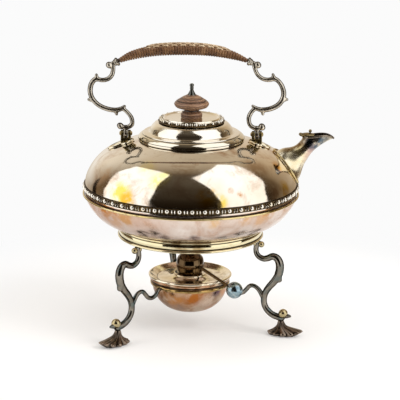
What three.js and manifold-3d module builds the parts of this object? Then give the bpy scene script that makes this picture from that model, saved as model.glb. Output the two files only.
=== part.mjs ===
// A tea kettle that stands on a tripod, with a spirit burner hung under it.
// Millimetres, +Z up. While the pieces are made the kettle's axis is x = y = 0, the table is z = 0
// and the spout points along +X. The last lines move the whole to the centre of its footprint.

import * as THREE from 'three';
import { mergeVertices } from 'three/addons/utils/BufferGeometryUtils.js';
import Module from 'manifold-3d';

const wasm = await Module();
wasm.setup();

// Fits
const SEAT_GAP = 0.3;
const RUNNING_GAP = 0.35;
const RING_SIDES = 24;
const SMALL_SIDES = 16;

// Stand: the ring that holds the kettle
const RING_BASE = 92;
const RING_HEIGHT = 10.8;
const RING_RADIUS = 69.2;
const RING_WALL = 2;
const RING_MOULDING = 0.9;
const LEDGE_THICKNESS = 2.2;
const LEDGE_REACH = 8.5;

// Kettle: the bowl, the shoulder and the band between them
const BODY_RADIUS = 101.6;
const SHELL_WALL = 1.2;
const FOOT_HEIGHT = 5.3;
const FOOT_WALL = 1.8;
const FOOT_PLAY = 0.6;
const BOWL_RISE = 37.7;
const BOWL_CORNER = 1.8;
const SHOULDER_RISE = 49;
const BRIM_OVERHANG = 0.8;
const MOUTH_RADIUS = 44.8;
const COLLAR_WIDTH = 5.6;
const COLLAR_HEIGHT = 6.2;
const BAND_WIDTH = 5.4;
const BAND_THICKNESS = 1.6;
const WIRE_RADIUS = 1;
const WIRE_DROP = 4.2;

// Spout
const SPOUT_WALL = 1;
const SPOUT_BASE_HALF = 17;
const SPOUT_UNDER_COLLAR = 11.6;
const SPOUT_OVERHANG = 4.4;
const SPOUT_MOUTH_LENGTH = 30;
const SPOUT_MOUTH_HALF = 8;
const SPOUT_MOUTH_DROP = 2.2;
const SPOUT_WIRE_RADIUS = 0.9;
const STRAINER_HOLE = 1.9;
const STRAINER_PITCH = 6.5;
const CREST_LENGTH = 11;
const CREST_THICKNESS = 1.4;
const CREST_BEAD = 1.5;

// Handle lugs and pivots
const PIVOT_REACH = 12.1;
const PIVOT_HEIGHT = 9.3;
const PIN_RADIUS = 1.1;
const PIN_HEAD = 0.9;
const EYE_RADIUS = 3.4;
const EYE_WIDTH = 3.4;
const CHEEK_WIDTH = 2.4;
const LEAF_THICKNESS = 1.5;
const LEAF_OUTER = 17.5;
const LEAF_INNER = 8.6;
const LEAF_SIDE = 8;
const LEAF_WAIST = 5;
const LEAF_LIFT = 0.45;

// Lid
const LID_WALL = 1;
const LID_RISE = 16.3;
const LID_PANEL_RADIUS = 26.6;
const LID_CROWN = 4.8;
const BEZEL_DEPTH = 5;
const BEZEL_GAP = 0.5;
const BEADING_RADIUS = 1.5;
const HINGE_KNUCKLE = 2.1;
const HINGE_PIN = 0.8;
const HINGE_LENGTH = 15;
const HINGE_LEAF = 1.2;
const HINGE_TONGUE = 4;

// Lid finial
const STUD_RADIUS = 2;
const SPOOL_RADIUS = 10.3;
const SPOOL_HEIGHT = 8.2;
const KNOB_RADIUS = 16.5;
const KNOB_HEIGHT = 14;
const TIP_RADIUS = 4.2;
const TIP_HEIGHT = 11.1;
const NUT_RADIUS = 4.4;
const NUT_HEIGHT = 3;
const BOLT_END = 0.8;

// Bail handle
const BAIL_RISE = 81.6;
const BAIL_LEAN = 0.13;
const BAIL_TILT = 0.011;
const ARM_RADIUS = 1.8;
const GRIP_INSET = 1;
const GRIP_DROP = 11.4;
const GRIP_RADIUS = 5.8;
const GRIP_END_RADIUS = 3.1;
const CANE_THICKNESS = 1.1;
const CANE_GAP = 0.9;
const CANE_TURNS = 24;
const CANE_STEPS = 10;
const CANE_END_WIDTH = 1.6;
const CANE_END_BEND = 3.2;
const CANE_END_RUN = 3.4;
const FERRULE_LENGTH = 5.2;
const FERRULE_WALL = 1;
const FERRULE_OVERLAP = 0.3;
const CORE_END = 1.5;

// Stand: legs, feet and brackets
const LEG_ANGLES = [-17.5, 102.5, 222.5];
const LEG_RADIUS = 2.7;
const ANKLE_HEIGHT = 14.2;
const ANKLE_REACH = 92;
const ANKLE_BALL = 3.4;
const FOOT_LENGTH = 33;
const FOOT_HALF_WIDTH = 9.5;
const TOE_LIFT = 3;
const SHELL_RIBS = 12;
const SHELL_FLUTE = 0.05;
const BRACKET_RADIUS = 2.1;

// Burner
const HOLDER_RADIUS = 38.6;
const HOLDER_HEIGHT = 3;
const HOLDER_WALL = 1.7;
const HOLDER_TOP = 46.4;
const BURNER_DEPTH = 29.6;
const BURNER_RISE = 4.8;
const BURNER_WALL = 1;
const BURNER_LIP = 2;
const BURNER_STEP = 1.4;
const PLATE_DEPTH = 2.6;
const WICK_TUBE = 5.4;
const WICK_TUBE_WALL = 0.8;
const WICK_TUBE_STAND = 13;
const WICK_TUBE_DROP = 18;
const WICK_FLANGE = 1;
const WICK_TAIL = 8;
const WICK_RISE = 2.5;
const WICK_COLLAR = 15.4;

// Regulator
const SLEEVE_RADIUS = 13.4;
const SLEEVE_HEIGHT = 19.5;
const SLEEVE_WALL = 1;
const SLEEVE_MOUTH = 7;
const ROD_RADIUS = 1.4;
const ROD_SHARE = 0.4;
const ROD_ANGLE = -47;
const BALL_RADIUS = 8;
const BALL_REACH = 62;
const BALL_DROP = 1.2;

// Heights and radii that follow
const LEDGE_TOP = RING_BASE + LEDGE_THICKNESS;
const RING_TOP = RING_BASE + RING_HEIGHT;
const BOWL_BASE = LEDGE_TOP + FOOT_HEIGHT;
const SEAM_Z = BOWL_BASE + BOWL_RISE;
const COLLAR_BASE = SEAM_Z + SHOULDER_RISE;
const COLLAR_TOP = COLLAR_BASE + COLLAR_HEIGHT;
const COLLAR_RADIUS = MOUTH_RADIUS + COLLAR_WIDTH;
const BAND_TOP = SEAM_Z + 1 + BAND_WIDTH;
const FOOT_RADIUS = RING_RADIUS - RING_WALL - FOOT_PLAY;

// Surfaces
const SILVER = { color: 0xcfc6b4, roughness: 0.16, metalness: 1 };
const DARK_SILVER = { color: 0x6f6a60, roughness: 0.3, metalness: 1 };
const GILT_SILVER = { color: 0xd6c691, roughness: 0.2, metalness: 1 };
const BRONZED = { color: 0x4b3c2c, roughness: 0.4, metalness: 1 };
const STEEL = { color: 0x6d8290, roughness: 0.15, metalness: 1 };
const WOOD = { color: 0x5f4030, roughness: 0.5, metalness: 0 };
const CANE = { color: 0xb0814f, roughness: 0.6, metalness: 0 };
const WICK = { color: 0xd8cfbb, roughness: 0.95, metalness: 0 };

// Tools for making solids

// Keeps positions only, shares vertices, drops slivers and turns the faces outward.
function solid(geometry) {
  const bare = geometry.clone();
  bare.deleteAttribute('normal');
  bare.deleteAttribute('uv');
  const merged = mergeVertices(bare, 1e-4);
  const at = (i) => new THREE.Vector3().fromBufferAttribute(merged.attributes.position, i);
  const faces = [];
  let volume = 0;
  for (let i = 0; i < merged.index.count; i += 3) {
    const [a, b, c] = [0, 1, 2].map((k) => merged.index.getX(i + k));
    if (a === b || b === c || c === a) continue;
    faces.push([a, b, c]);
    volume += at(a).dot(at(b).cross(at(c)));
  }
  merged.setIndex(faces.flatMap(([a, b, c]) => (volume < 0 ? [a, c, b] : [a, b, c])));
  return merged;
}

function toManifold(geometry) {
  const vertProperties = Float32Array.from(geometry.attributes.position.array);
  const triVerts = Uint32Array.from(geometry.index.array);
  return new wasm.Manifold(new wasm.Mesh({ numProp: 3, vertProperties, triVerts }));
}

function fromManifold(manifold) {
  const mesh = manifold.getMesh();
  const geometry = new THREE.BufferGeometry();
  geometry.setAttribute('position', new THREE.BufferAttribute(mesh.vertProperties, 3));
  geometry.setIndex(new THREE.BufferAttribute(mesh.triVerts, 1));
  return solid(geometry);
}

function join(...pieces) {
  return fromManifold(pieces.map(toManifold).reduce((whole, piece) => whole.add(piece)));
}

function cut(piece, ...tools) {
  return fromManifold(tools.map(toManifold).reduce((whole, tool) => whole.subtract(tool),
    toManifold(piece)));
}

// A soft curve through [a, b] points, with a number of steps between each two.
function smooth(points, steps) {
  const curve = new THREE.SplineCurve(points.map(([a, b]) => new THREE.Vector2(a, b)));
  return curve.getPoints(steps * (points.length - 1)).map((p) => [p.x, p.y]);
}

// A profile moved to its inner side by a wall's thickness.
function inset(profile, wall) {
  return profile.map(([r, z], i) => {
    const [r0, z0] = profile[Math.max(i - 1, 0)];
    const [r1, z1] = profile[Math.min(i + 1, profile.length - 1)];
    const length = Math.hypot(r1 - r0, z1 - z0);
    return [Math.max(r - wall * (z1 - z0) / length, 0), z + wall * (r1 - r0) / length];
  });
}

// Every second point of a profile, with both its ends: enough for an inside that does not show.
function sparse(profile) {
  return profile.filter((_, i) => i % 2 === 0 || i === profile.length - 1);
}

// A solid turned about the Z axis from [radius, height] points.
function turned(profile, sides = RING_SIDES) {
  const points = profile.map(([r, z]) => new THREE.Vector2(r, z));
  return solid(new THREE.LatheGeometry(points, sides).rotateX(Math.PI / 2));
}

function turnedRing(profile, sides = RING_SIDES) {
  return turned([...profile, profile[0]], sides);
}

// Rings of points joined into one solid: capped at both ends, or closed into a loop.
function loft(rings, closed = false) {
  const count = rings[0].length;
  const points = rings.flat();
  const faces = [];
  const spans = closed ? rings.length : rings.length - 1;
  for (let i = 0; i < spans; i += 1) {
    const here = i * count;
    const next = ((i + 1) % rings.length) * count;
    for (let k = 0; k < count; k += 1) {
      const m = (k + 1) % count;
      faces.push(here + k, here + m, next + m, here + k, next + m, next + k);
    }
  }
  if (!closed) {
    for (const [start, flip] of [[0, true], [(rings.length - 1) * count, false]]) {
      const middle = new THREE.Vector3();
      for (let k = 0; k < count; k += 1) middle.addScaledVector(points[start + k], 1 / count);
      points.push(middle);
      for (let k = 0; k < count; k += 1) {
        const edge = [start + k, start + (k + 1) % count];
        faces.push(points.length - 1, ...(flip ? edge.reverse() : edge));
      }
    }
  }
  const geometry = new THREE.BufferGeometry().setFromPoints(points);
  geometry.setIndex(faces);
  return solid(geometry);
}

// A round bar of changing thickness along [x, z, radius] points in the plane y = 0.
function bar(points, { steps = 1, sides = 6, flat = 1 } = {}) {
  const curve = new THREE.CatmullRomCurve3(points.map(([x, z, r]) => new THREE.Vector3(x, r, z)));
  const stations = curve.getPoints(steps * (points.length - 1));
  const rings = stations.map((station, i) => {
    const before = stations[Math.max(i - 1, 0)];
    const after = stations[Math.min(i + 1, stations.length - 1)];
    const along = new THREE.Vector3(after.x - before.x, 0, after.z - before.z).normalize();
    const side = new THREE.Vector3(along.z, 0, -along.x);
    return Array.from({ length: sides }, (_, k) => {
      const angle = ((k + 0.5) * 2 * Math.PI) / sides;
      return new THREE.Vector3(station.x, 0, station.z)
        .addScaledVector(side, station.y * Math.cos(angle))
        .setY(station.y * flat * Math.sin(angle));
    });
  });
  return loft(rings);
}

function ball(radius, x, y, z, sides = 10) {
  return solid(new THREE.SphereGeometry(radius, sides, Math.round(sides * 0.6)).translate(x, y, z));
}

// A round pin along X.
function pinAlongX(radius, length, x, y, z, sides = 12) {
  const pin = new THREE.CylinderGeometry(radius, radius, length, sides).rotateZ(Math.PI / 2);
  return solid(pin.translate(x, y, z));
}

function piece(name, geometry, finish) {
  const mesh = new THREE.Mesh(geometry, new THREE.MeshStandardMaterial(finish));
  mesh.name = name;
  return mesh;
}

const object = new THREE.Group();
const kettle = new THREE.Group();
const lid = new THREE.Group();
const bail = new THREE.Group();
const stand = new THREE.Group();
const burner = new THREE.Group();
const regulator = new THREE.Group();
object.add(kettle, stand, burner);
kettle.add(lid, bail);
burner.add(regulator);

// Kettle body

// The outline's points give shares of the way in from the girdle and of the rise to it.
const BOWL_OUTLINE = [[0, 0], [0.19, 0.067], [0.427, 0.17], [0.649, 0.33], [0.823, 0.532],
  [0.956, 0.742], [1, 0.92], [1, 1]];
const bowlBrim = RING_RADIUS + BRIM_OVERHANG;
const bowlSeat = RING_TOP + 2 * SEAT_GAP;
const bowlSide = BOWL_OUTLINE.map(([a, b]) => [
  bowlBrim + a * (BODY_RADIUS - bowlBrim), bowlSeat + b * (SEAM_Z - bowlSeat)]);
const bowlProfile = [
  [0, BOWL_BASE], [FOOT_RADIUS - BOWL_CORNER, BOWL_BASE], [FOOT_RADIUS, BOWL_BASE + BOWL_CORNER],
  [FOOT_RADIUS, bowlSeat - SEAT_GAP], ...bowlSide];
const bowlInside = [
  [BODY_RADIUS - SHELL_WALL, SEAM_Z],
  ...inset(bowlSide, SHELL_WALL).filter((_, i) => i % 2 === 1 && i < 7).reverse(),
  [bowlBrim - SHELL_WALL / 3, bowlSeat + SHELL_WALL],
  [FOOT_RADIUS - SHELL_WALL, bowlSeat + (2 * SHELL_WALL) / 3],
  [FOOT_RADIUS - SHELL_WALL, BOWL_BASE + BOWL_CORNER],
  [FOOT_RADIUS - SHELL_WALL - BOWL_CORNER, BOWL_BASE + SHELL_WALL], [0, BOWL_BASE + SHELL_WALL]];
kettle.add(piece('body_lower', turned([...bowlProfile, ...bowlInside]), SILVER));

const shoulderReach = BODY_RADIUS - COLLAR_RADIUS;
const SHOULDER_OUTLINE = [[0, 0], [0, 0.14], [0.035, 0.305], [0.13, 0.49], [0.255, 0.645],
  [0.395, 0.755], [0.56, 0.845], [0.72, 0.905], [0.87, 0.958], [1, 1]];
const shoulderProfile = smooth(SHOULDER_OUTLINE.map(([a, b]) => [
  BODY_RADIUS - a * shoulderReach, SEAM_Z + b * SHOULDER_RISE]), 1);
const shoulderOutside = [...shoulderProfile, [MOUTH_RADIUS, COLLAR_BASE]];
const shoulderInside = inset(shoulderProfile, SHELL_WALL);
shoulderInside[0] = [BODY_RADIUS - SHELL_WALL, SEAM_Z];
shoulderInside.push([MOUTH_RADIUS, COLLAR_BASE - SHELL_WALL]);

// Where the shoulder's outside lies: its radius at a height, its height and slope at a radius.
function shoulderRadius(z) {
  const i = shoulderProfile.findIndex(([, height]) => height >= z);
  const [[r0, z0], [r1, z1]] = [shoulderProfile[i - 1], shoulderProfile[i]];
  return r0 + ((r1 - r0) * (z - z0)) / (z1 - z0);
}

function shoulderPoint(x, y, lift) {
  const reach = Math.hypot(x, y);
  const i = shoulderProfile.findIndex(([r]) => r <= reach);
  const [[r0, z0], [r1, z1]] = [shoulderProfile[i - 1], shoulderProfile[i]];
  const slope = (z1 - z0) / (r1 - r0);
  const height = z0 + (reach - r0) * slope;
  return new THREE.Vector3(x, y, height + lift * Math.hypot(1, slope));
}

// Spout: ovals that run from the shoulder to the mouth

const spoutLow = BAND_TOP + 2 * (SPOUT_WIRE_RADIUS + SEAT_GAP);
const spoutHigh = COLLAR_BASE - SPOUT_UNDER_COLLAR;
const spoutMouthX = BODY_RADIUS + SPOUT_OVERHANG;
const mouthZ = COLLAR_TOP - SPOUT_MOUTH_DROP;

// A point on the oval where the spout meets the body, moved off the surface and out from the oval.
function spoutRoot(angle, lift, spread) {
  const middle = (spoutLow + spoutHigh) / 2;
  const half = (spoutHigh - spoutLow) / 2 + spread;
  const z = middle + half * Math.cos(angle);
  const y = (SPOUT_BASE_HALF + spread) * Math.sin(angle);
  const rise = 0.5;
  const slope = (shoulderRadius(z + rise) - shoulderRadius(z - rise)) / (2 * rise);
  const tilt = Math.hypot(1, slope);
  const radius = shoulderRadius(z) + lift / tilt;
  return new THREE.Vector3(Math.sqrt(radius ** 2 - y ** 2), y, z - (lift * slope) / tilt);
}

// Each station, from the root outward: the upper edge and the lower edge from the back of the mouth,
// as shares of the mouth's length, then the half width as a share of the mouth's.
const SPOUT_STATIONS = [
  [[-0.61, -0.4033], [-0.04, -1.2567], 1.65],
  [[-0.3567, -0.36], [0.05, -0.9567], 1.325],
  [[-0.2, -0.29], [0.1733, -0.7233], 1.125],
  [[-0.0833, -0.18], [0.32, -0.5067], 1.025],
  [[-0.0133, -0.08], [0.5067, -0.3333], 0.9875],
  [[0, -0.03], [0.75, -0.1667], 1],
];

function spoutRing(inside, station) {
  const sides = 16;
  const place = ([a, b]) => new THREE.Vector2(
    spoutMouthX + a * SPOUT_MOUTH_LENGTH, mouthZ + b * SPOUT_MOUTH_LENGTH);
  const [top, low] = station.slice(0, 2).map(place);
  const half = station[2] * SPOUT_MOUTH_HALF;
  const middle = top.clone().add(low).multiplyScalar(0.5);
  const reach = top.distanceTo(low) / 2;
  const up = top.clone().sub(middle).normalize();
  return Array.from({ length: sides }, (_, k) => {
    const angle = (k * 2 * Math.PI) / sides;
    const along = (reach - inside) * Math.cos(angle);
    return new THREE.Vector3(middle.x + up.x * along, (half - inside) * Math.sin(angle),
      middle.y + up.y * along);
  });
}

// The mouth is pear-shaped: round at the back, drawn to a lip that dips at its tip.
function spoutMouth(inside) {
  const sides = 16;
  return Array.from({ length: sides }, (_, k) => {
    const angle = (k * 2 * Math.PI) / sides;
    const front = (1 - Math.cos(angle)) / 2;
    const length = SPOUT_MOUTH_LENGTH - 2 * inside;
    const width = (SPOUT_MOUTH_HALF - inside) * Math.sin(angle) * (1.12 - 0.42 * front);
    const rise = 1.6 * Math.sin(Math.PI * front ** 2) - 1.4 * front ** 8;
    return new THREE.Vector3(spoutMouthX + inside + length * front, width, mouthZ + rise);
  });
}

function spoutSkin(inside) {
  const root = Array.from({ length: 16 }, (_, k) => (
    spoutRoot((k * 2 * Math.PI) / 16, SEAT_GAP, -inside)));
  return [root, ...SPOUT_STATIONS.map((station) => spoutRing(inside, station)), spoutMouth(inside)];
}

kettle.add(piece('spout', loft([...spoutSkin(0), ...spoutSkin(SPOUT_WALL).reverse()], true), SILVER));

const rootWire = Array.from({ length: 20 }, (_, k) => {
  const angle = (k * 2 * Math.PI) / 20;
  const clear = SPOUT_WIRE_RADIUS + SEAT_GAP;
  const centre = spoutRoot(angle, clear, clear);
  const outward = spoutRoot(angle, clear + 1, clear).sub(centre).normalize();
  const ahead = spoutRoot(angle + 0.01, clear, clear).sub(centre).normalize();
  const across = new THREE.Vector3().crossVectors(ahead, outward).normalize();
  return Array.from({ length: 5 }, (_unused, m) => {
    const turn = (m * 2 * Math.PI) / 5;
    return centre.clone().addScaledVector(outward, SPOUT_WIRE_RADIUS * Math.cos(turn))
      .addScaledVector(across, SPOUT_WIRE_RADIUS * Math.sin(turn));
  });
});
kettle.add(piece('spout_base_wire', loft(rootWire, true), SILVER));

// The crest closes the back of the mouth and carries a bead.
const crestOutline = new THREE.Shape();
const crestHalf = SPOUT_MOUTH_HALF * 0.8;
const crestBeadX = spoutMouthX + 0.67 * CREST_LENGTH;
crestOutline.moveTo(CREST_LENGTH, -crestHalf);
crestOutline.lineTo(CREST_LENGTH, crestHalf);
crestOutline.absellipse(CREST_LENGTH * 0.35, 0, CREST_LENGTH * 0.6, crestHalf, Math.PI / 2, 1.5 * Math.PI);
const crestPlate = solid(new THREE.ExtrudeGeometry(crestOutline, {
  depth: CREST_THICKNESS, bevelEnabled: false, curveSegments: 10 }));
const crestZ = mouthZ + 0.8 + SEAT_GAP;
crestPlate.translate(spoutMouthX, 0, crestZ);
const crestTop = crestZ + CREST_THICKNESS;
const crestStem = solid(new THREE.CylinderGeometry(0.6 * CREST_BEAD, 0.6 * CREST_BEAD, 2 * CREST_BEAD, 8)
  .rotateX(Math.PI / 2).translate(crestBeadX, 0, crestTop + CREST_BEAD / 2));
const crestBead = ball(CREST_BEAD, crestBeadX, 0, crestTop + 1.7 * CREST_BEAD, 8);
kettle.add(piece('spout_crest', join(crestPlate, crestStem, crestBead), DARK_SILVER));

// Straining holes through the shoulder behind the spout: one in the middle and six round it.
const holeMiddle = (spoutLow + spoutHigh) / 2;
const holes = Array.from({ length: 7 }, (_, k) => {
  const angle = (k * Math.PI) / 3;
  const reach = k === 6 ? 0 : STRAINER_PITCH;
  const z = holeMiddle + reach * Math.cos(angle);
  const slope = shoulderRadius(z + 0.5) - shoulderRadius(z - 0.5);
  const hole = new THREE.CylinderGeometry(STRAINER_HOLE, STRAINER_HOLE, 6 * SHELL_WALL, 8)
    .rotateZ(Math.PI / 2).rotateY(-Math.atan(-slope));
  return solid(hole.translate(shoulderRadius(z), reach * Math.sin(angle), z));
});
const shoulder = turnedRing([...shoulderOutside, ...sparse(shoulderInside).reverse()]);
kettle.add(piece('body_upper', cut(shoulder, ...holes), SILVER));

// Girdle: a band over the seam and a wire under it
const bandIn = BODY_RADIUS + SEAT_GAP;
const bandOut = bandIn + BAND_THICKNESS;
const bandLow = BAND_TOP - BAND_WIDTH;
const bandEase = 0.4 * BAND_THICKNESS;
kettle.add(piece('girdle_band', turnedRing([
  [bandIn, bandLow], [bandOut - bandEase, bandLow], [bandOut, bandLow + 2 * bandEase],
  [bandOut, BAND_TOP - 2 * bandEase], [bandOut - bandEase, BAND_TOP], [bandIn, BAND_TOP]]), SILVER));
const wireZ = bandLow - WIRE_DROP;
kettle.add(piece('girdle_wire', turnedRing(Array.from({ length: 6 }, (_, k) => [
  bandIn + WIRE_RADIUS * (1 + Math.cos((k * Math.PI) / 3)),
  wireZ + WIRE_RADIUS * Math.sin((k * Math.PI) / 3)])), SILVER));

// Foot ring under the bowl, standing on the stand's ledge
const footNeck = FOOT_RADIUS - 2 * FOOT_WALL;
kettle.add(piece('kettle_foot', turnedRing([
  [FOOT_RADIUS - FOOT_WALL, LEDGE_TOP], [FOOT_RADIUS, LEDGE_TOP],
  [FOOT_RADIUS, LEDGE_TOP + FOOT_WALL], [footNeck, BOWL_BASE],
  [footNeck - FOOT_WALL, BOWL_BASE], [footNeck - FOOT_WALL, BOWL_BASE - FOOT_WALL]]), SILVER));

// Collar round the mouth: the lid sits on its flat top
const COLLAR_OUTLINE = [[0, 0], [1, 0], [1, 0.226], [0.839, 0.58], [0.59, 0.855], [0.43, 1], [0, 1]];
const collarCrown = MOUTH_RADIUS + 0.43 * COLLAR_WIDTH;
kettle.add(piece('mouth_collar', turnedRing(COLLAR_OUTLINE.map(([a, b]) => [
  MOUTH_RADIUS + a * COLLAR_WIDTH, COLLAR_BASE + b * COLLAR_HEIGHT])), SILVER));

// Handle lugs: a four-leaved foot that follows the shoulder, and two cheeks that hold the pin

const pivotX = COLLAR_RADIUS + PIVOT_REACH;
const pivotZ = shoulderPoint(pivotX, 0, 0).z + PIVOT_HEIGHT;
const cheekIn = EYE_WIDTH / 2 + RUNNING_GAP;
const cheekOut = cheekIn + CHEEK_WIDTH;

// How far the foot reaches in a direction: long outward, short inward and to the sides.
function leafReach(angle, outer) {
  const outward = Math.max(Math.cos(angle), 0) ** 6 * (outer - LEAF_WAIST);
  const inward = Math.max(-Math.cos(angle), 0) ** 6 * (LEAF_INNER - LEAF_WAIST);
  const sideways = Math.abs(Math.sin(angle)) ** 6 * (LEAF_SIDE - LEAF_WAIST);
  return LEAF_WAIST + outward + inward + sideways;
}

function leafFoot(outer) {
  const directions = 20;
  const shares = [0.02, 0.55, 1];
  const layer = (share, lift) => Array.from({ length: directions }, (_, k) => {
    const angle = (k * 2 * Math.PI) / directions;
    const reach = leafReach(angle, outer) * share;
    return shoulderPoint(pivotX + reach * Math.cos(angle), reach * Math.sin(angle), lift);
  });
  const under = shares.map((share) => layer(share, LEAF_LIFT));
  const over = shares.map((share) => (
    layer(share, LEAF_LIFT + LEAF_THICKNESS * (1 - 0.55 * share ** 3)))).reverse();
  return loft([...under, ...over]);
}

function lug(side, outer) {
  const cheeks = [-1, 1].map((hand) => {
    const outline = new THREE.Shape();
    const x = pivotX + hand * (cheekIn + CHEEK_WIDTH / 2);
    const foot = shoulderPoint(pivotX + cheekOut, EYE_RADIUS, SEAT_GAP + LEAF_THICKNESS / 2).z;
    const floor = hand > 0 ? foot : shoulderPoint(pivotX - cheekIn, EYE_RADIUS,
      SEAT_GAP + LEAF_THICKNESS / 2).z;
    outline.moveTo(EYE_RADIUS, floor - pivotZ);
    outline.absarc(0, 0, EYE_RADIUS, 0, Math.PI);
    outline.lineTo(-EYE_RADIUS, floor - pivotZ);
    const plate = new THREE.ExtrudeGeometry(outline, {
      depth: CHEEK_WIDTH, bevelEnabled: false, curveSegments: 8 });
    plate.rotateX(Math.PI / 2).rotateZ(Math.PI / 2);
    return solid(plate.translate(x - CHEEK_WIDTH / 2, 0, pivotZ));
  });
  const bore = pinAlongX(PIN_RADIUS + SEAT_GAP, 2 * cheekOut + 4, pivotX, 0, pivotZ);
  return solid(cut(join(leafFoot(outer), ...cheeks), bore).scale(side, 1, 1));
}

// A pin with a rivet head outside each cheek.
function pivotPin(side) {
  const headX = cheekOut + SEAT_GAP + PIN_HEAD / 2;
  const shaft = pinAlongX(PIN_RADIUS, 2 * (cheekOut + SEAT_GAP + PIN_HEAD / 2), pivotX, 0, pivotZ);
  const heads = [-1, 1].map((hand) => (
    pinAlongX(PIN_RADIUS + 1, PIN_HEAD, pivotX + hand * headX, 0, pivotZ)));
  return solid(join(shaft, ...heads).scale(side, 1, 1));
}

// On the spout's side the long leaf stops short of the wire round the spout's root.
const wireInner = spoutRoot(0, 0, 2 * SPOUT_WIRE_RADIUS + 3 * SEAT_GAP).x;
const leafBySpout = Math.min(LEAF_OUTER, wireInner - pivotX);
for (const [side, hand, outer] of [[-1, 'left', LEAF_OUTER], [1, 'right', leafBySpout]]) {
  kettle.add(piece(`lug_${hand}`, lug(side, outer), DARK_SILVER));
  kettle.add(piece(`pivot_pin_${hand}`, pivotPin(side), DARK_SILVER));
}

// Lid

const lidRim = collarCrown - 0.4;
const lidTop = COLLAR_TOP + LID_RISE;
const panelZ = lidTop - 0.27 * LID_CROWN;
const beadLedge = lidTop - LID_CROWN;
// From the rim over the flat flange and up the dome: shares of the slope's width and of the rise.
const LID_OUTLINE = [[1, 0], [0.97, 0.07], [0.72, 0.09], [0.64, 0.2], [0.59, 0.36], [0.5, 0.51],
  [0.38, 0.63]];
// The crown, from the ledge under the beading over its rim to the sunk panel, as shares of its height.
const CROWN_OUTLINE = [[0.625, -1], [0.417, -0.83], [0.25, -0.21], [0, 0], [-0.25, -0.08], [-0.54, -0.27]];
const lidProfile = [
  ...smooth(LID_OUTLINE.map(([a, b]) => [
    LID_PANEL_RADIUS + a * (lidRim - LID_PANEL_RADIUS), COLLAR_TOP + b * LID_RISE]), 1),
  ...CROWN_OUTLINE.map(([a, b]) => [LID_PANEL_RADIUS + a * LID_CROWN, lidTop + b * LID_CROWN]),
  [STUD_RADIUS + SEAT_GAP, panelZ]];
const lidInside = [
  [STUD_RADIUS + SEAT_GAP, panelZ - LID_WALL],
  [LID_PANEL_RADIUS - 0.58 * LID_CROWN, panelZ - LID_WALL],
  ...inset(lidProfile, LID_WALL).slice(2, LID_OUTLINE.length + 1).reverse(),
  [lidRim - LID_WALL, COLLAR_TOP]];
lid.add(piece('lid_dome', turnedRing([...lidProfile, ...lidInside]), SILVER));

const beadMiddle = LID_PANEL_RADIUS + 0.417 * LID_CROWN + SEAT_GAP + BEADING_RADIUS;
lid.add(piece('lid_beading', turnedRing(Array.from({ length: 6 }, (_, k) => [
  beadMiddle + BEADING_RADIUS * Math.cos(((k + 0.5) * Math.PI) / 3),
  beadLedge + SEAT_GAP + BEADING_RADIUS * (1 + Math.sin(((k + 0.5) * Math.PI) / 3))])), SILVER));

// The bezel hangs inside the mouth from under the dome's rim.
const bezelRadius = MOUTH_RADIUS - BEZEL_GAP;
const bezelLow = COLLAR_TOP - BEZEL_DEPTH;
const bezelTop = COLLAR_TOP - SEAT_GAP / 3;
const bezelEase = 0.3 * LID_WALL;
lid.add(piece('lid_bezel', turnedRing([
  [bezelRadius - LID_WALL, bezelLow], [bezelRadius - bezelEase, bezelLow],
  [bezelRadius, bezelLow + 3 * bezelEase], [bezelRadius, bezelTop],
  [bezelRadius - LID_WALL, bezelTop]]), SILVER));

// Lid hinge at the back of the collar: two knuckles on the body, one on the lid
const hingeY = COLLAR_RADIUS + SEAT_GAP + HINGE_KNUCKLE;
const hingeZ = COLLAR_TOP + 0.24 * HINGE_KNUCKLE;
const middleKnuckle = HINGE_LENGTH / 3 - SEAT_GAP;

function hingePlate(outline, width, x) {
  const shape = new THREE.Shape(outline.map(([y, z]) => new THREE.Vector2(y, z)));
  const plate = new THREE.ExtrudeGeometry(shape, { depth: width, bevelEnabled: false });
  return solid(plate.rotateX(Math.PI / 2).rotateZ(Math.PI / 2).translate(x - width / 2, 0, 0));
}

const hingeBase = COLLAR_BASE + 2 * SEAT_GAP;
const bodyLeaf = hingePlate([
  [COLLAR_RADIUS + SEAT_GAP, hingeBase], [hingeY + 0.3 * HINGE_KNUCKLE, hingeBase],
  [hingeY + 0.8 * HINGE_KNUCKLE, hingeZ - 0.3 * HINGE_KNUCKLE], [hingeY, hingeZ - 0.1 * HINGE_KNUCKLE],
  [COLLAR_RADIUS + SEAT_GAP, hingeZ - 1.15 * HINGE_KNUCKLE]], HINGE_LENGTH, 0);
const bodyKnuckle = pinAlongX(HINGE_KNUCKLE, HINGE_LENGTH, 0, hingeY, hingeZ);
const hingeSpace = pinAlongX(HINGE_KNUCKLE + RUNNING_GAP, middleKnuckle + 2 * SEAT_GAP, 0, hingeY, hingeZ);
const hingeBore = pinAlongX(HINGE_PIN + SEAT_GAP, HINGE_LENGTH + 2 * HINGE_LEAF, 0, hingeY, hingeZ);
kettle.add(piece('hinge_leaf_body',
  cut(join(bodyLeaf, bodyKnuckle), hingeSpace, hingeBore), SILVER));
kettle.add(piece('hinge_pin',
  pinAlongX(HINGE_PIN, HINGE_LENGTH + 2 * SEAT_GAP, 0, hingeY, hingeZ), SILVER));

function lidHeight(reach) {
  const i = lidProfile.findIndex(([r]) => r <= reach);
  const [[r0, z0], [r1, z1]] = [lidProfile[i - 1], lidProfile[i]];
  return z0 + ((z1 - z0) * (reach - r0)) / (r1 - r0);
}

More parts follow.
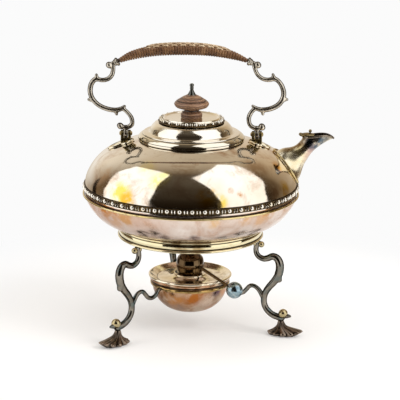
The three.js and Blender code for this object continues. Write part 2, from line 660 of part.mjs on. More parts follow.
const leafGap = 1.5 * SEAT_GAP;
const leafTop = leafGap + 1.4 * HINGE_LEAF;
const leafBend = lidProfile[1][0];
const leafEnd = leafBend - HINGE_TONGUE;
const lidLeaf = hingePlate([
  [hingeY, hingeZ + HINGE_KNUCKLE - HINGE_LEAF], [hingeY, hingeZ + HINGE_KNUCKLE],
  [lidRim, hingeZ + 1.2 * HINGE_KNUCKLE], [leafBend, lidHeight(leafBend) + leafTop],
  [leafEnd, lidHeight(leafEnd) + leafTop], [leafEnd, lidHeight(leafEnd) + leafGap],
  [leafBend, lidHeight(leafBend) + leafGap], [lidRim + SEAT_GAP, COLLAR_TOP + 3 * SEAT_GAP]],
  middleKnuckle, 0);
const lidKnuckle = pinAlongX(HINGE_KNUCKLE, middleKnuckle, 0, hingeY, hingeZ);
lid.add(piece('hinge_leaf_lid', cut(join(lidLeaf, lidKnuckle), hingeBore), SILVER));

// Finial: a turned foot and knob on a silver bolt, with a nut under the lid
const stud = STUD_RADIUS + SEAT_GAP;
const knobZ = panelZ + SPOOL_HEIGHT;
const tipZ = knobZ + KNOB_HEIGHT;
const SPOOL_OUTLINE = [[0.95, 0], [1, 0.17], [1, 0.476], [0.864, 0.707], [0.69, 0.805], [0.69, 1]];
lid.add(piece('finial_foot', turnedRing([
  [stud, panelZ], ...SPOOL_OUTLINE.map(([a, b]) => [a * SPOOL_RADIUS, panelZ + b * SPOOL_HEIGHT]),
  [stud, knobZ]], SMALL_SIDES), WOOD));
const KNOB_OUTLINE = [[0.46, 0], [0.56, 0.04], [0.88, 0.155], [1, 0.34], [0.985, 0.46],
  [0.88, 0.575], [0.76, 0.64], [0.57, 0.83], [0.37, 0.95], [0.29, 1]];
lid.add(piece('finial_knob', turnedRing([
  [stud, knobZ], ...KNOB_OUTLINE.map(([a, b]) => [a * KNOB_RADIUS, knobZ + b * KNOB_HEIGHT]),
  [stud, tipZ]], SMALL_SIDES), WOOD));
const nutTop = panelZ - LID_WALL;
const boltLow = nutTop - NUT_HEIGHT - BOLT_END;
const TIP_OUTLINE = [[1, 0], [0.8, 0.12], [0.42, 0.34], [0.3, 0.5], [0.4, 0.58], [0.28, 0.66],
  [0.42, 0.82], [0.34, 0.95]];
lid.add(piece('finial_bolt', turned([
  [0, boltLow], [STUD_RADIUS, boltLow], [STUD_RADIUS, tipZ],
  ...TIP_OUTLINE.map(([a, b]) => [a * TIP_RADIUS, tipZ + b * TIP_HEIGHT]),
  [0, tipZ + TIP_HEIGHT]], 12), SILVER));
lid.add(piece('finial_nut', turnedRing([
  [stud, nutTop - NUT_HEIGHT], [NUT_RADIUS, nutTop - NUT_HEIGHT],
  [NUT_RADIUS, nutTop], [stud, nutTop]], 6), SILVER));
kettle.add(lid);

// Bail handle, made upright about the pivots, then leaned to the left and tilted as photographed

const leanFrom = pivotZ + EYE_RADIUS + 2;
function leaned(geometry) {
  const bent = geometry.clone();
  const place = bent.attributes.position;
  for (let i = 0; i < place.count; i += 1) {
    const [x, above] = [place.getX(i), Math.max(place.getZ(i) - leanFrom, 0)];
    place.setX(i, x - BAIL_LEAN * above);
    place.setZ(i, place.getZ(i) + BAIL_TILT * x * Math.min(above / EYE_RADIUS / 4, 1));
  }
  return solid(bent);
}

// The grip's arch, from the left end to the right one, as shares of its half length and drop.
const gripHalf = pivotX - GRIP_INSET;
const gripTop = pivotZ + BAIL_RISE;
const ARCH = [[0, 0], [0.33, 0.06], [0.58, 0.25], [0.8, 0.55], [1, 1]];
const archRight = ARCH.map(([a, b]) => new THREE.Vector3(a * gripHalf, 0, gripTop - b * GRIP_DROP));
const archLeft = archRight.slice(1).reverse().map((p) => new THREE.Vector3(-p.x, 0, p.z));
const arch = new THREE.CatmullRomCurve3([...archLeft, ...archRight]);
const archLength = arch.getLength();

const ferruleStart = archLength / 2 - FERRULE_OVERLAP;

// The grip's outer radius at a distance from its middle: it swells between the ferrules.
function gripRadius(distance) {
  const share = Math.min(Math.abs(distance) / ferruleStart, 1);
  return GRIP_END_RADIUS + (GRIP_RADIUS - GRIP_END_RADIUS) * (1 - share ** 2.6);
}

const coreInset = CANE_THICKNESS + SEAT_GAP + RUNNING_GAP;

// A point on the grip: a distance along the arch, a turn about it and a radius.
function gripFrame(distance) {
  const u = THREE.MathUtils.clamp(distance / archLength + 0.5, 0, 1);
  const along = arch.getTangentAt(u);
  const centre = arch.getPointAt(u).addScaledVector(along, distance - (u - 0.5) * archLength);
  return { centre, along, up: new THREE.Vector3(-along.z, 0, along.x) };
}

function gripPoint(distance, turn, radius) {
  const { centre, up } = gripFrame(distance);
  return centre.addScaledVector(up, radius * Math.cos(turn)).setY(radius * Math.sin(turn));
}

const coreHalf = archLength / 2 + CORE_END;
const coreSteps = 12;
const coreDistances = [-coreHalf, ...Array.from({ length: coreSteps + 1 }, (_, i) => (
  (ferruleStart - 1) * ((2 * i) / coreSteps - 1))), coreHalf];
const coreRings = coreDistances.map((distance) => {
  const radius = gripRadius(distance) - coreInset;
  return Array.from({ length: 8 }, (_unused, k) => gripPoint(distance, (k * Math.PI) / 4, radius));
});
bail.add(piece('grip_core', leaned(loft(coreRings)), WOOD));

// Ferrules: round sockets over the core's ends

const ferruleBore = GRIP_END_RADIUS - coreInset + 1.5 * SEAT_GAP;

function ferruleRing(side, distance, radius) {
  return Array.from({ length: 10 }, (_, k) => (
    gripPoint(side * distance, (k * Math.PI) / 5, radius)));
}

// The outside of a ferrule, from its mouth to its tip, as shares of its length and of its wall.
const FERRULE_OUTLINE = [[0, 1], [0.21, 1.4], [0.43, 1], [0.86, 0.7], [1, -0.2]];

function ferruleSkin(side, extra) {
  return FERRULE_OUTLINE.map(([a, b]) => ferruleRing(side,
    ferruleStart + a * (FERRULE_LENGTH + extra), ferruleBore + b * FERRULE_WALL + extra));
}

function ferruleSolid(side, extra) {
  return loft(ferruleSkin(side, extra));
}

function ferrule(side) {
  return loft([ferruleRing(side, coreHalf + SEAT_GAP, ferruleBore),
    ferruleRing(side, ferruleStart, ferruleBore), ...ferruleSkin(side, 0)]);
}

for (const [side, hand] of [[-1, 'left'], [1, 'right']]) {
  bail.add(piece(`ferrule_${hand}`, leaned(ferrule(side)), DARK_SILVER));
}

// The arm's points: out from the pivot and up from it, as shares of the rise to the grip's end, and
// the thickness as a share of the arm's.
const armRise = BAIL_RISE - GRIP_DROP;
const UPPER_SCROLL = [[-0.0256, 0.386, 0.6], [0.0242, 0.3504, 0.95], [0.0983, 0.3305, 1.05],
  [0.1994, 0.3419, 1.08], [0.2934, 0.3789, 1.08], [0.3647, 0.4373, 1.1], [0.4088, 0.5185, 1.1],
  [0.4145, 0.6068, 1.1], [0.3832, 0.698, 1.05], [0.3177, 0.7578, 1], [0.2365, 0.7436, 0.95],
  [0.1567, 0.7578, 0.92], [0.0969, 0.8091, 0.9], [0.0684, 0.8803, 0.9], [0.0541, 0.9829, 0.85]];
const LOWER_SCROLL = [[0.0057, 0.3504, 0.9], [-0.0456, 0.3048, 0.95], [-0.0897, 0.2365, 1],
  [-0.0983, 0.1709, 1.02], [-0.0798, 0.1168, 1.05], [-0.0228, 0.084, 1.05], [0.037, 0.084, 1.05],
  [0.0712, 0.1026, 1]];
const SPURS = [[[0.3846, 0.4644], [0.4473, 0.4786]], [[0.1068, 0.3333], [0.1026, 0.2764]],
  [[0.3105, 0.7493], [0.302, 0.812]]];
const CURL = [0.0741, 0.1083];
const KNOP = [0.1197, 0.955];
const KNOP_ROOT = [0.0627, 0.943];

function bailArm(side) {
  const place = ([a, b, share]) => [
    pivotX + a * armRise, pivotZ + b * armRise, share * ARM_RADIUS];
  const upper = bar(UPPER_SCROLL.map(place));
  const lower = bar(LOWER_SCROLL.map(place));
  const spurs = SPURS.map(([[x0, z0], [x1, z1]]) => bar([
    place([x0, z0, 0.95]), place([(x0 + x1) / 2, (z0 + z1) / 2, 0.6]), place([x1, z1, 0.25])],
    { sides: 5 }));
  const [curlX, curlZ] = place(CURL);
  const [knopX, knopZ] = place(KNOP);
  const curl = ball(ARM_RADIUS * 1.45, curlX, 0, curlZ, 8);
  const knop = ball(ARM_RADIUS * 1.5, knopX, 0, knopZ, 8);
  const knopStem = bar([place([...KNOP_ROOT, 0.7]), place([...KNOP, 0.5])]);
  const eye = pinAlongX(EYE_RADIUS - 0.2, EYE_WIDTH, pivotX, 0, pivotZ, 14);
  const neck = solid(new THREE.BoxGeometry(EYE_WIDTH, 2 * ARM_RADIUS, 3 * ARM_RADIUS)
    .translate(pivotX, 0, pivotZ + EYE_RADIUS + 0.5));
  const bore = pinAlongX(PIN_RADIUS + SEAT_GAP, EYE_WIDTH + 2, pivotX, 0, pivotZ);
  const arm = cut(join(upper, lower, ...spurs, curl, knop, knopStem, eye, neck), bore,
    ferruleSolid(1, SEAT_GAP));
  return leaned(arm.scale(side, 1, 1));
}

for (const [side, hand] of [[-1, 'left'], [1, 'right']]) {
  bail.add(piece(`bail_arm_${hand}`, bailArm(side), DARK_SILVER));
}

// The cane: one strand wound from ferrule to ferrule, each end run straight along the grip.
const caneHalf = ferruleStart - SEAT_GAP;
const woundHalf = caneHalf - CANE_END_RUN - CANE_END_BEND;
const canePitch = (2 * woundHalf) / (CANE_TURNS - 1);
const caneWidth = canePitch - CANE_GAP;

// Where the strand's end turns to run straight along the grip.
const caneEndSteps = 5;
const caneEndTurn = 0.7;
const caneWound = (CANE_TURNS - 1) * 2 * Math.PI;

function caneEnd(side) {
  const bend = Array.from({ length: caneEndSteps }, (_, i) => {
    const share = (i + 1) / caneEndSteps;
    const angle = (share * Math.PI) / 2;
    return { distance: side * (woundHalf + CANE_END_BEND * (1 - Math.cos(angle))),
      turn: side * (caneWound / 2 + caneEndTurn * Math.sin(angle)),
      width: caneWidth + (CANE_END_WIDTH - caneWidth) * share };
  });
  const straight = [0.5, 1].map((share) => ({
    distance: side * (woundHalf + CANE_END_BEND + CANE_END_RUN * share),
    turn: side * (caneWound / 2 + caneEndTurn), width: CANE_END_WIDTH }));
  return [...bend, ...straight];
}

function caneRoute() {
  const steps = (CANE_TURNS - 1) * CANE_STEPS;
  const wound = Array.from({ length: steps + 1 }, (_, i) => {
    const share = (2 * i) / steps - 1;
    return { distance: share * woundHalf, turn: (share * caneWound) / 2, width: caneWidth };
  });
  return [...caneEnd(-1).reverse(), ...wound, ...caneEnd(1)];
}

const caneSections = (() => {
  const route = caneRoute();
  const centres = route.map(({ distance, turn }) => (
    gripPoint(distance, turn, gripRadius(distance) - CANE_THICKNESS / 2)));
  return route.map(({ distance, turn, width }, i) => {
    const ahead = centres[Math.min(i + 1, centres.length - 1)].clone()
      .sub(centres[Math.max(i - 1, 0)]).normalize();
    const outward = gripPoint(distance, turn, 10).sub(gripFrame(distance).centre);
    outward.addScaledVector(ahead, -outward.dot(ahead)).normalize();
    const across = new THREE.Vector3().crossVectors(ahead, outward);
    const corners = [[-0.5, -0.5], [0.5, -0.5], [0.5, 0.05], [0.26, 0.5], [-0.26, 0.5], [-0.5, 0.05]];
    return corners.map(([a, b]) => centres[i].clone()
      .addScaledVector(across, a * width).addScaledVector(outward, b * CANE_THICKNESS));
  });
})();
bail.add(piece('grip_cane', leaned(loft(caneSections)), CANE));

// The least gap between the strand and its own turns, measured on points.
function leastCaneGap() {
  let least = Infinity;
  const apart = Math.round(CANE_STEPS * 0.6);
  for (let i = 0; i < caneSections.length; i += 1) {
    const last = Math.min(i + CANE_STEPS * 1.6, caneSections.length);
    for (let j = i + apart; j < last; j += 1) {
      for (const a of caneSections[i]) {
        for (const b of caneSections[j]) least = Math.min(least, a.distanceTo(b));
      }
    }
  }
  return least;
}
console.log(`least gap between turns of cane: ${leastCaneGap().toFixed(2)} mm`);

// Stand ring: a moulded band with an inner ledge

const ringIn = RING_RADIUS - RING_WALL;
// The outside, from the bottom up: shares of the moulding's reach and of the ring's height.
const RING_OUTLINE = [[0, 0], [1, 0.065], [1, 0.176], [-0.22, 0.278], [-0.22, 0.778], [0.33, 0.824],
  [0.33, 0.944], [-0.33, 1]];
stand.add(piece('stand_ring', turnedRing([
  [ringIn - LEDGE_REACH, RING_BASE],
  ...RING_OUTLINE.map(([a, b]) => [RING_RADIUS + a * RING_MOULDING, RING_BASE + b * RING_HEIGHT]),
  [ringIn, RING_TOP], [ringIn, LEDGE_TOP], [ringIn - LEDGE_REACH, LEDGE_TOP]]), GILT_SILVER));

// Legs: each is one scrolled casting in an upright plane. The points are shares of the way out from
// the ring to the ankle, shares of the way up from the ankle to the ring, and thickness shares.
const LEG_LINE = [[-0.0263, 1.0129, 0.66], [-0.1228, 0.9357, 0.8], [-0.1316, 0.8612, 0.84],
  [-0.0263, 0.8046, 0.88], [0.1842, 0.7776, 0.96], [0.3947, 0.7905, 1.04], [0.5877, 0.8175, 1.12],
  [0.7763, 0.7995, 1.24], [0.8904, 0.7429, 1.36], [0.9123, 0.6658, 1.4], [0.8509, 0.5835, 1.34],
  [0.6754, 0.4987, 1.24], [0.4561, 0.419, 1.14], [0.2982, 0.3393, 1.06], [0.2412, 0.2545, 1],
  [0.2939, 0.1722, 1], [0.4649, 0.1041, 1.04], [0.7105, 0.0604, 1.08], [1.0526, 0.0386, 1.16]];
const LEG_HEAD = [0.1316, 0.964];
const LEG_NECK = [[0.1316, 0.9666, 0.7], [-0.0439, 0.9563, 0.7]];
const LEG_SPUR = [[0.7544, 0.5347, 1], [0.8684, 0.5064, 0.6], [0.9737, 0.4859, 0.25]];
const ANKLE_CURL = [1.0965, 0.1028];
const ANKLE_TAIL = [[1.1096, 0.1131, 0.9], [1.2851, 0.0977, 0.6], [1.4211, 0.072, 0.25]];

function legPlace([a, b, share = 0], extra = 0) {
  return [RING_RADIUS + a * (ANKLE_REACH - RING_RADIUS),
    ANKLE_HEIGHT + b * (RING_BASE - ANKLE_HEIGHT), share * LEG_RADIUS + extra];
}

function leg(extra) {
  const [headX, headZ] = legPlace(LEG_HEAD);
  const [curlX, curlZ] = legPlace(ANKLE_CURL);
  const bars = [LEG_LINE, LEG_NECK, LEG_SPUR, ANKLE_TAIL].map((line) => (
    bar(line.map((point) => legPlace(point, extra)))));
  return join(...bars, ball(LEG_RADIUS * 0.98 + extra, headX, 0, headZ, 8),
    ball(ANKLE_BALL + extra, curlX, 0, curlZ, 10));
}

// The casting is cut flat under the ring and over the foot.
const cutting = 16 * LEG_RADIUS;
const ceiling = solid(new THREE.BoxGeometry(cutting, cutting, cutting)
  .translate(RING_RADIUS, 0, RING_BASE - SEAT_GAP + cutting / 2));
const ankleFloor = solid(new THREE.BoxGeometry(cutting, cutting, ANKLE_HEIGHT + SEAT_GAP)
  .translate(ANKLE_REACH, 0, (ANKLE_HEIGHT + SEAT_GAP) / 2));
const legShape = cut(leg(0), ceiling, ankleFloor);

// Feet: a neck that opens into a ribbed shell. Layers: height as a share of the ankle's, shift outward
// as a share of the foot's length, length, width and toe lift as shares.
const FOOT_LAYERS = [[1, 0, 0.17, 0.3, 0], [0.669, 0.0303, 0.3, 0.44, 0],
  [0.4225, 0.097, 0.64, 0.76, 0.5], [0.2254, 0.1364, 1, 1, 1],
  [0, 0.0455, 0.72, 0.6, 0]];

function shellFoot() {
  const around = 2 * SHELL_RIBS;
  const rings = FOOT_LAYERS.map(([height, shift, long, wide, lift]) => (
    Array.from({ length: around }, (_, k) => {
      const angle = (k * 2 * Math.PI) / around;
      const flute = 1 + SHELL_FLUTE * (1 - height) * Math.cos(angle * SHELL_RIBS);
      return new THREE.Vector3(
        ANKLE_REACH + FOOT_LENGTH * (shift + 0.5 * long * flute * Math.cos(angle)),
        FOOT_HALF_WIDTH * wide * flute * Math.sin(angle),
        ANKLE_HEIGHT * height + TOE_LIFT * lift * Math.max(Math.cos(angle), 0) ** 2);
    })));
  return loft(rings);
}

// Brackets: scrolls from the burner's ring to the legs. Points: shares of the way out to the leg,
// shares of the way down to it, and thickness shares.
const BRACKET_ROOT = [0.2544, 0.2481];
const BRACKET_LINE = [[1, 1, 1.1], [0.9172, 0.4649, 1.08], [0.8234, 0.0614, 1],
  [0.7131, -0.1491, 0.95], [0.6028, -0.114, 0.95], [0.5145, 0.1842, 1], [0.4207, 0.5, 1],
  [0.2938, 0.6228, 0.95], [0.1669, 0.4825, 0.9], [0.0841, 0.1316, 0.9], [0, 0, 0.9]];
const [rootX, rootZ] = legPlace(BRACKET_ROOT);
const bracketStart = HOLDER_RADIUS + SEAT_GAP;
const holderMiddle = HOLDER_TOP - HOLDER_HEIGHT / 2;
const bracketBar = bar(BRACKET_LINE.map(([a, b, share]) => [
  bracketStart + a * (rootX - bracketStart), holderMiddle + b * (rootZ - holderMiddle),
  share * BRACKET_RADIUS]));
const bracketShape = cut(bracketBar, leg(SEAT_GAP));
const footShape = shellFoot();

LEG_ANGLES.forEach((angle, i) => {
  const spoke = new THREE.Group();
  spoke.rotation.z = THREE.MathUtils.degToRad(angle);
  spoke.add(piece(`leg_${i + 1}`, legShape, DARK_SILVER));
  spoke.add(piece(`foot_${i + 1}`, footShape, DARK_SILVER));
  spoke.add(piece(`bracket_${i + 1}`, bracketShape, DARK_SILVER));
  stand.add(spoke);
});

const holderEase = 0.3 * HOLDER_WALL;
stand.add(piece('burner_ring', turnedRing([
  [HOLDER_RADIUS - HOLDER_WALL, HOLDER_TOP - HOLDER_HEIGHT],
  [HOLDER_RADIUS - holderEase, HOLDER_TOP - HOLDER_HEIGHT], [HOLDER_RADIUS, holderMiddle],
  [HOLDER_RADIUS - holderEase, HOLDER_TOP], [HOLDER_RADIUS - HOLDER_WALL, HOLDER_TOP]]), GILT_SILVER));

// Burner: a bowl that hangs in the ring by its step, with a dished plate over it

const burnerWaist = HOLDER_RADIUS - HOLDER_WALL - RUNNING_GAP;
const burnerBase = HOLDER_TOP - BURNER_DEPTH;
const plateZ = HOLDER_TOP + BURNER_RISE;
const burnerSide = burnerWaist + BURNER_STEP;
const burnerBrim = burnerWaist + 1.3 * BURNER_STEP;
const burnerRim = burnerSide + BURNER_LIP;
const BURNER_OUTLINE = [[0.33, 0.02], [0.61, 0.14], [0.81, 0.34], [0.93, 0.57], [0.99, 0.8]];
const burnerInside = burnerWaist - BURNER_WALL;
const burnerHollow = sparse(BURNER_OUTLINE).map(([a, b]) => [
  a * burnerInside, burnerBase + BURNER_WALL + b * (BURNER_DEPTH - BURNER_WALL)]);
burner.add(piece('burner_bowl', turned([
  [0, burnerBase],
  ...BURNER_OUTLINE.map(([a, b]) => [a * burnerWaist, burnerBase + b * BURNER_DEPTH]),
  [burnerWaist, HOLDER_TOP], [burnerSide, HOLDER_TOP], [burnerBrim, plateZ],
  [burnerSide - BURNER_WALL, plateZ], [burnerInside, HOLDER_TOP], ...burnerHollow.reverse(),
  [0, burnerBase + BURNER_WALL]]), SILVER));

const plateBore = WICK_TUBE + SEAT_GAP;
const plateUnder = plateZ - PLATE_DEPTH;
const plateTop = plateZ + 1.08 * PLATE_DEPTH;
// From the underside round the rolled rim to the dish: shares of the rim's radius and of the depth.
const PLATE_OUTLINE = [[0.8, -1], [0.89, 0], [0.985, 0], [1, 0.385], [0.97, 0.846], [0.8, -0.54]];
burner.add(piece('burner_plate', turnedRing([
  [plateBore, plateUnder],
  ...PLATE_OUTLINE.map(([a, b]) => [a * burnerRim, plateZ + b * PLATE_DEPTH]),
  [1.55 * WICK_COLLAR, plateZ - 0.54 * PLATE_DEPTH], [1.12 * WICK_COLLAR, plateZ + 0.15 * PLATE_DEPTH],
  [WICK_COLLAR, plateTop], [plateBore, plateTop]]), SILVER));

// Wick tube with a flange under the plate, and the wick in it
const wickTubeLow = plateZ - WICK_TUBE_DROP;
const wickTubeTop = plateTop + WICK_TUBE_STAND;
const flangeTop = plateUnder - SEAT_GAP;
const flangeLow = flangeTop - WICK_FLANGE;
const flangeRadius = WICK_TUBE + 3 * WICK_TUBE_WALL;
burner.add(piece('wick_tube', turnedRing([
  [WICK_TUBE - WICK_TUBE_WALL, wickTubeLow], [WICK_TUBE, wickTubeLow],
  [WICK_TUBE, flangeLow], [flangeRadius, flangeLow], [flangeRadius, flangeTop],
  [WICK_TUBE, flangeTop], [WICK_TUBE, wickTubeTop],
  [WICK_TUBE - WICK_TUBE_WALL, wickTubeTop]], SMALL_SIDES), BRONZED));
const wickRadius = WICK_TUBE - WICK_TUBE_WALL - SEAT_GAP;
const wickTop = wickTubeTop + WICK_RISE;
burner.add(piece('wick', turned([
  [0, wickTubeLow - WICK_TAIL], [wickRadius, wickTubeLow - WICK_TAIL],
  [wickRadius, wickTop - WICK_TUBE_WALL], [wickRadius - WICK_TUBE_WALL, wickTop],
  [0, wickTop]], 12), WICK));

// Regulator: a barrel sleeve that turns on the plate, with a rod and a ball to push it by

const sleeveZ = plateTop + SEAT_GAP;
const SLEEVE_OUTLINE = [[0.84, 0], [0.93, 0.1], [1, 0.36], [0.985, 0.58], [0.88, 0.8]];
const sleeveProfile = [
  ...SLEEVE_OUTLINE.map(([a, b]) => [a * SLEEVE_RADIUS, sleeveZ + b * SLEEVE_HEIGHT]),
  [SLEEVE_MOUTH, sleeveZ + SLEEVE_HEIGHT]];
const sleeveInside = inset(sleeveProfile, SLEEVE_WALL);
sleeveInside[0] = [sleeveProfile[0][0] - SLEEVE_WALL, sleeveZ];
regulator.add(piece('regulator_sleeve', turnedRing([
  ...sleeveProfile, ...sparse(sleeveInside).reverse()], 20), SILVER));

// The rod runs out from the sleeve, straight down to the ball.
const rodStart = new THREE.Vector2(SLEEVE_RADIUS + SEAT_GAP, sleeveZ + SLEEVE_HEIGHT * ROD_SHARE);
const ballAt = new THREE.Vector2(BALL_REACH, plateZ - BALL_DROP);
const rodLine = ballAt.clone().sub(rodStart);
const rodEnd = ballAt.clone().addScaledVector(rodLine.clone().normalize(), -BALL_RADIUS - SEAT_GAP);
const regulatorArm = new THREE.Group();
regulatorArm.rotation.z = THREE.MathUtils.degToRad(ROD_ANGLE);
regulatorArm.add(piece('regulator_rod', bar([
  [rodStart.x, rodStart.y, ROD_RADIUS * 1.2], [rodEnd.x, rodEnd.y, ROD_RADIUS]],
  { steps: 2, sides: 8 }), BRONZED));
regulatorArm.add(piece('regulator_ball', ball(BALL_RADIUS, ballAt.x, 0, ballAt.y, 14), STEEL));
regulator.add(regulatorArm);

// The whole stands with the middle of its footprint at the origin.
const extent = new THREE.Box3().setFromObject(object);
const middle = extent.getCenter(new THREE.Vector3());
object.position.set(-middle.x, -middle.y, -extent.min.z);

export default object;
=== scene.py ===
"""A silver-plated tea kettle on its tripod stand, with a spirit burner under it."""
import math

import bmesh
import bpy
from mathutils import Matrix, Vector


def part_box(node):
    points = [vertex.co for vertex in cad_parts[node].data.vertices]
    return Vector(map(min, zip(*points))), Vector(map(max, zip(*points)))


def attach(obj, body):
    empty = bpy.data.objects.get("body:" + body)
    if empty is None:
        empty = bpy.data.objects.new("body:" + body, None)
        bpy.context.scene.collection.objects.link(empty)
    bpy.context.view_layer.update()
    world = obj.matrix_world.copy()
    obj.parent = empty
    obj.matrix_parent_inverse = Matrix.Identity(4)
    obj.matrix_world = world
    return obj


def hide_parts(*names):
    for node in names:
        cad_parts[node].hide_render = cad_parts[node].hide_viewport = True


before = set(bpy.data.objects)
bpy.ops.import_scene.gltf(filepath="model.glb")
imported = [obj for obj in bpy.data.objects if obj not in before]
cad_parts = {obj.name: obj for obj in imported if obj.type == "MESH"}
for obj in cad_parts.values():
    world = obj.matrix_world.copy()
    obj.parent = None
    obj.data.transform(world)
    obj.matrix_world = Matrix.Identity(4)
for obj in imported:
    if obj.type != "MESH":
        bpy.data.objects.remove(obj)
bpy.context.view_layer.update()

# Sizes are in millimetres, measured from the kettle's own upright axis and from the table.
MM = 0.001
COLLAR_LOW, COLLAR_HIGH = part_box("mouth_collar")
AXIS = Vector(((COLLAR_LOW.x + COLLAR_HIGH.x) / 2, (COLLAR_LOW.y + COLLAR_HIGH.y) / 2, 0))


def at(x, y, z):
    """A place in millimetres about the kettle's axis, as metres in the frame."""
    return AXIS + Vector((x, y, z)) * MM


# Camera

CAMERA_DISTANCE = 1900
CAMERA_HEIGHT = 619.3
AIM_SIDEWAYS = 8.9
AIM_HEIGHT = 126.4
CAMERA_ROLL = math.radians(0.6)
LENS = 183.6

camera = bpy.data.objects.new("camera", bpy.data.cameras.new("camera"))
bpy.context.collection.objects.link(camera)
camera.location = at(0, -CAMERA_DISTANCE, CAMERA_HEIGHT)
looking = (at(AIM_SIDEWAYS, 0, AIM_HEIGHT) - camera.location).to_track_quat("-Z", "Y").to_matrix()
camera.rotation_euler = (looking @ Matrix.Rotation(CAMERA_ROLL, 3, "Z")).to_euler()
camera.data.lens = LENS
camera.data.clip_end = 50
bpy.context.scene.camera = camera

# Materials


def ink(code):
    """A colour written as sRGB hex, turned to the linear values that shaders use."""
    values = [int(code[i:i + 2], 16) / 255 for i in (1, 3, 5)]
    return tuple(v / 12.92 if v <= 0.04045 else ((v + 0.055) / 1.055) ** 2.4
                 for v in values) + (1.0,)


def add(tree, kind, inputs=(), out=None, stops=(), **settings):
    """Adds a node and gives its output: the one named, or else the first in use.

    Inputs go by name, or in order from the first. Each takes a value, a colour in hex or another
    node's output. Stops are the places and colours of a ramp; settings are the node's own options.
    """
    node = tree.nodes.new("ShaderNode" + kind)
    for name, value in settings.items():
        setattr(node, name, value)
    for socket, value in inputs.items() if isinstance(inputs, dict) else enumerate(inputs):
        if isinstance(value, bpy.types.NodeSocket):
            tree.links.new(value, node.inputs[socket])
        else:
            node.inputs[socket].default_value = ink(value) if isinstance(value, str) else value
    if stops:
        for place, _ in stops[2:]:
            node.color_ramp.elements.new(place)
        for element, (place, colour) in zip(node.color_ramp.elements, stops):
            element.position, element.color = place, ink(colour)
    return node.outputs[out] if out else next((s for s in node.outputs if s.enabled), None)


def new_material(name):
    """An empty material and its node tree."""
    material = bpy.data.materials.new(name)
    material.use_nodes = True
    material.node_tree.nodes.clear()
    return material, material.node_tree


def surfaced(material, inputs):
    """The material with its surface, from the inputs of its one shader."""
    tree = material.node_tree
    add(tree, "OutputMaterial", {"Surface": add(tree, "BsdfPrincipled", inputs)})
    return material


def own_place(tree):
    """The point on the piece itself, so that a pattern stays with its piece when it moves."""
    return add(tree, "TexCoord", out="Object")


def patch_mask(tree, place, centre, radius, ragged):
    """How much of a patch about a point lies here: whole in its middle, ragged at its edge."""
    away = add(tree, "VectorMath", [place, tuple(at(*centre))], operation="DISTANCE")
    near = add(tree, "MapRange", [away, 0.25 * radius * MM, radius * MM, 1.0, 0.0])
    return add(tree, "Math", [near, ragged], operation="MULTIPLY", use_clamp=True)


def shade_band_mask(tree, place, bands, ragged):
    """How much painted shade lies here, in level bands given by their lower and upper height."""
    height = add(tree, "SeparateXYZ", [place], "Z")
    total = 0.0
    for low, high in bands:
        away = add(tree, "Math", [height, (low + high) / 2 * MM], operation="SUBTRACT")
        away = add(tree, "Math", [away], operation="ABSOLUTE")
        band = add(tree, "MapRange",
                   [away, (high - low) * 0.25 * MM, (high - low) / 2 * MM, 1.0, 0.0])
        total = add(tree, "Math", [band, total], operation="MAXIMUM")
    return add(tree, "Math", [total, ragged], operation="MULTIPLY", use_clamp=True)


def plated_silver(name, bright, warm, stain, cover, gloss, stain_size, patches=(), shade_bands=()):
    """Electroplated nickel silver, polished and then left to tarnish.

    A bright mirror, straw-coloured where the tarnish is thin and brown to pink where it is thick.
    Cover is the share of the surface that is stained. A patch is a spot of colour of its own: its
    middle, its radius and its colour. Most patches are stains; some on the spout and the bowl are
    painted reflection, highlight and shade. The bands, given last, are the heights between which
    shade is painted in the grooves and under the mouldings.
    """
    material, tree = new_material(name)
    place = own_place(tree)
    clouds = add(tree, "TexNoise", {"Vector": place, "Scale": 1 / (stain_size * MM),
                                    "Detail": 8.0, "Roughness": 0.66, "Distortion": 0.5})
    blush = add(tree, "TexNoise", {"Vector": place, "Scale": 0.37 / (stain_size * MM),
                                   "Detail": 4.0, "Roughness": 0.5})
    thick = add(tree, "MapRange", [clouds, 0.72 - cover * 0.45, 0.86 - cover * 0.3])
    thin = add(tree, "MapRange", [blush, 0.62 - cover * 0.3, 0.78 - cover * 0.2])
    colour = add(tree, "Mix", {"Factor": thin, "A": bright, "B": warm}, data_type="RGBA")
    colour = add(tree, "Mix", {"Factor": thick, "A": colour, "B": stain}, data_type="RGBA")
    # Patches have edges as ragged as drops that dried.
    drops = add(tree, "TexNoise", {"Vector": place, "Scale": 1 / (11 * MM), "Detail": 9.0,
                                   "Roughness": 0.7})
    ragged = add(tree, "MapRange", [drops, 0.36, 0.6, 0.0, 1.5])
    for centre, radius, tint in patches:
        here = patch_mask(tree, place, centre, radius, ragged)
        colour = add(tree, "Mix", {"Factor": here, "A": colour, "B": tint}, data_type="RGBA")
    # Wiping scratches, each about 0.4 mm wide, blur the mirror a little.
    wiping = add(tree, "TexNoise", {"Vector": place, "Scale": 1 / (2.5 * MM), "Detail": 9.0,
                                    "Roughness": 0.75})
    dull = add(tree, "MapRange", [wiping, 0.3, 0.75, gloss[0], gloss[1]])
    dull = add(tree, "Math", [thick, gloss[2], dull], operation="MULTIPLY_ADD")
    # Painted shade: dark brown in level bands, in the grooves and under the mouldings.
    if shade_bands:
        held = add(tree, "MapRange", [clouds, 0.3, 0.55, 0.75, 1.0])
        band_shade = shade_band_mask(tree, place, shade_bands, held)
        colour = add(tree, "Mix", {"Factor": band_shade, "A": colour, "B": "#2E2418"},
                     data_type="RGBA")
        dull = add(tree, "Math", [band_shade, 0.3, dull], operation="MULTIPLY_ADD")
    bump = add(tree, "Bump", {"Strength": 0.05, "Distance": 0.1 * MM, "Height": wiping})
    return surfaced(material, {"Base Color": colour, "Roughness": dull, "Normal": bump,
                               "Metallic": 1.0})


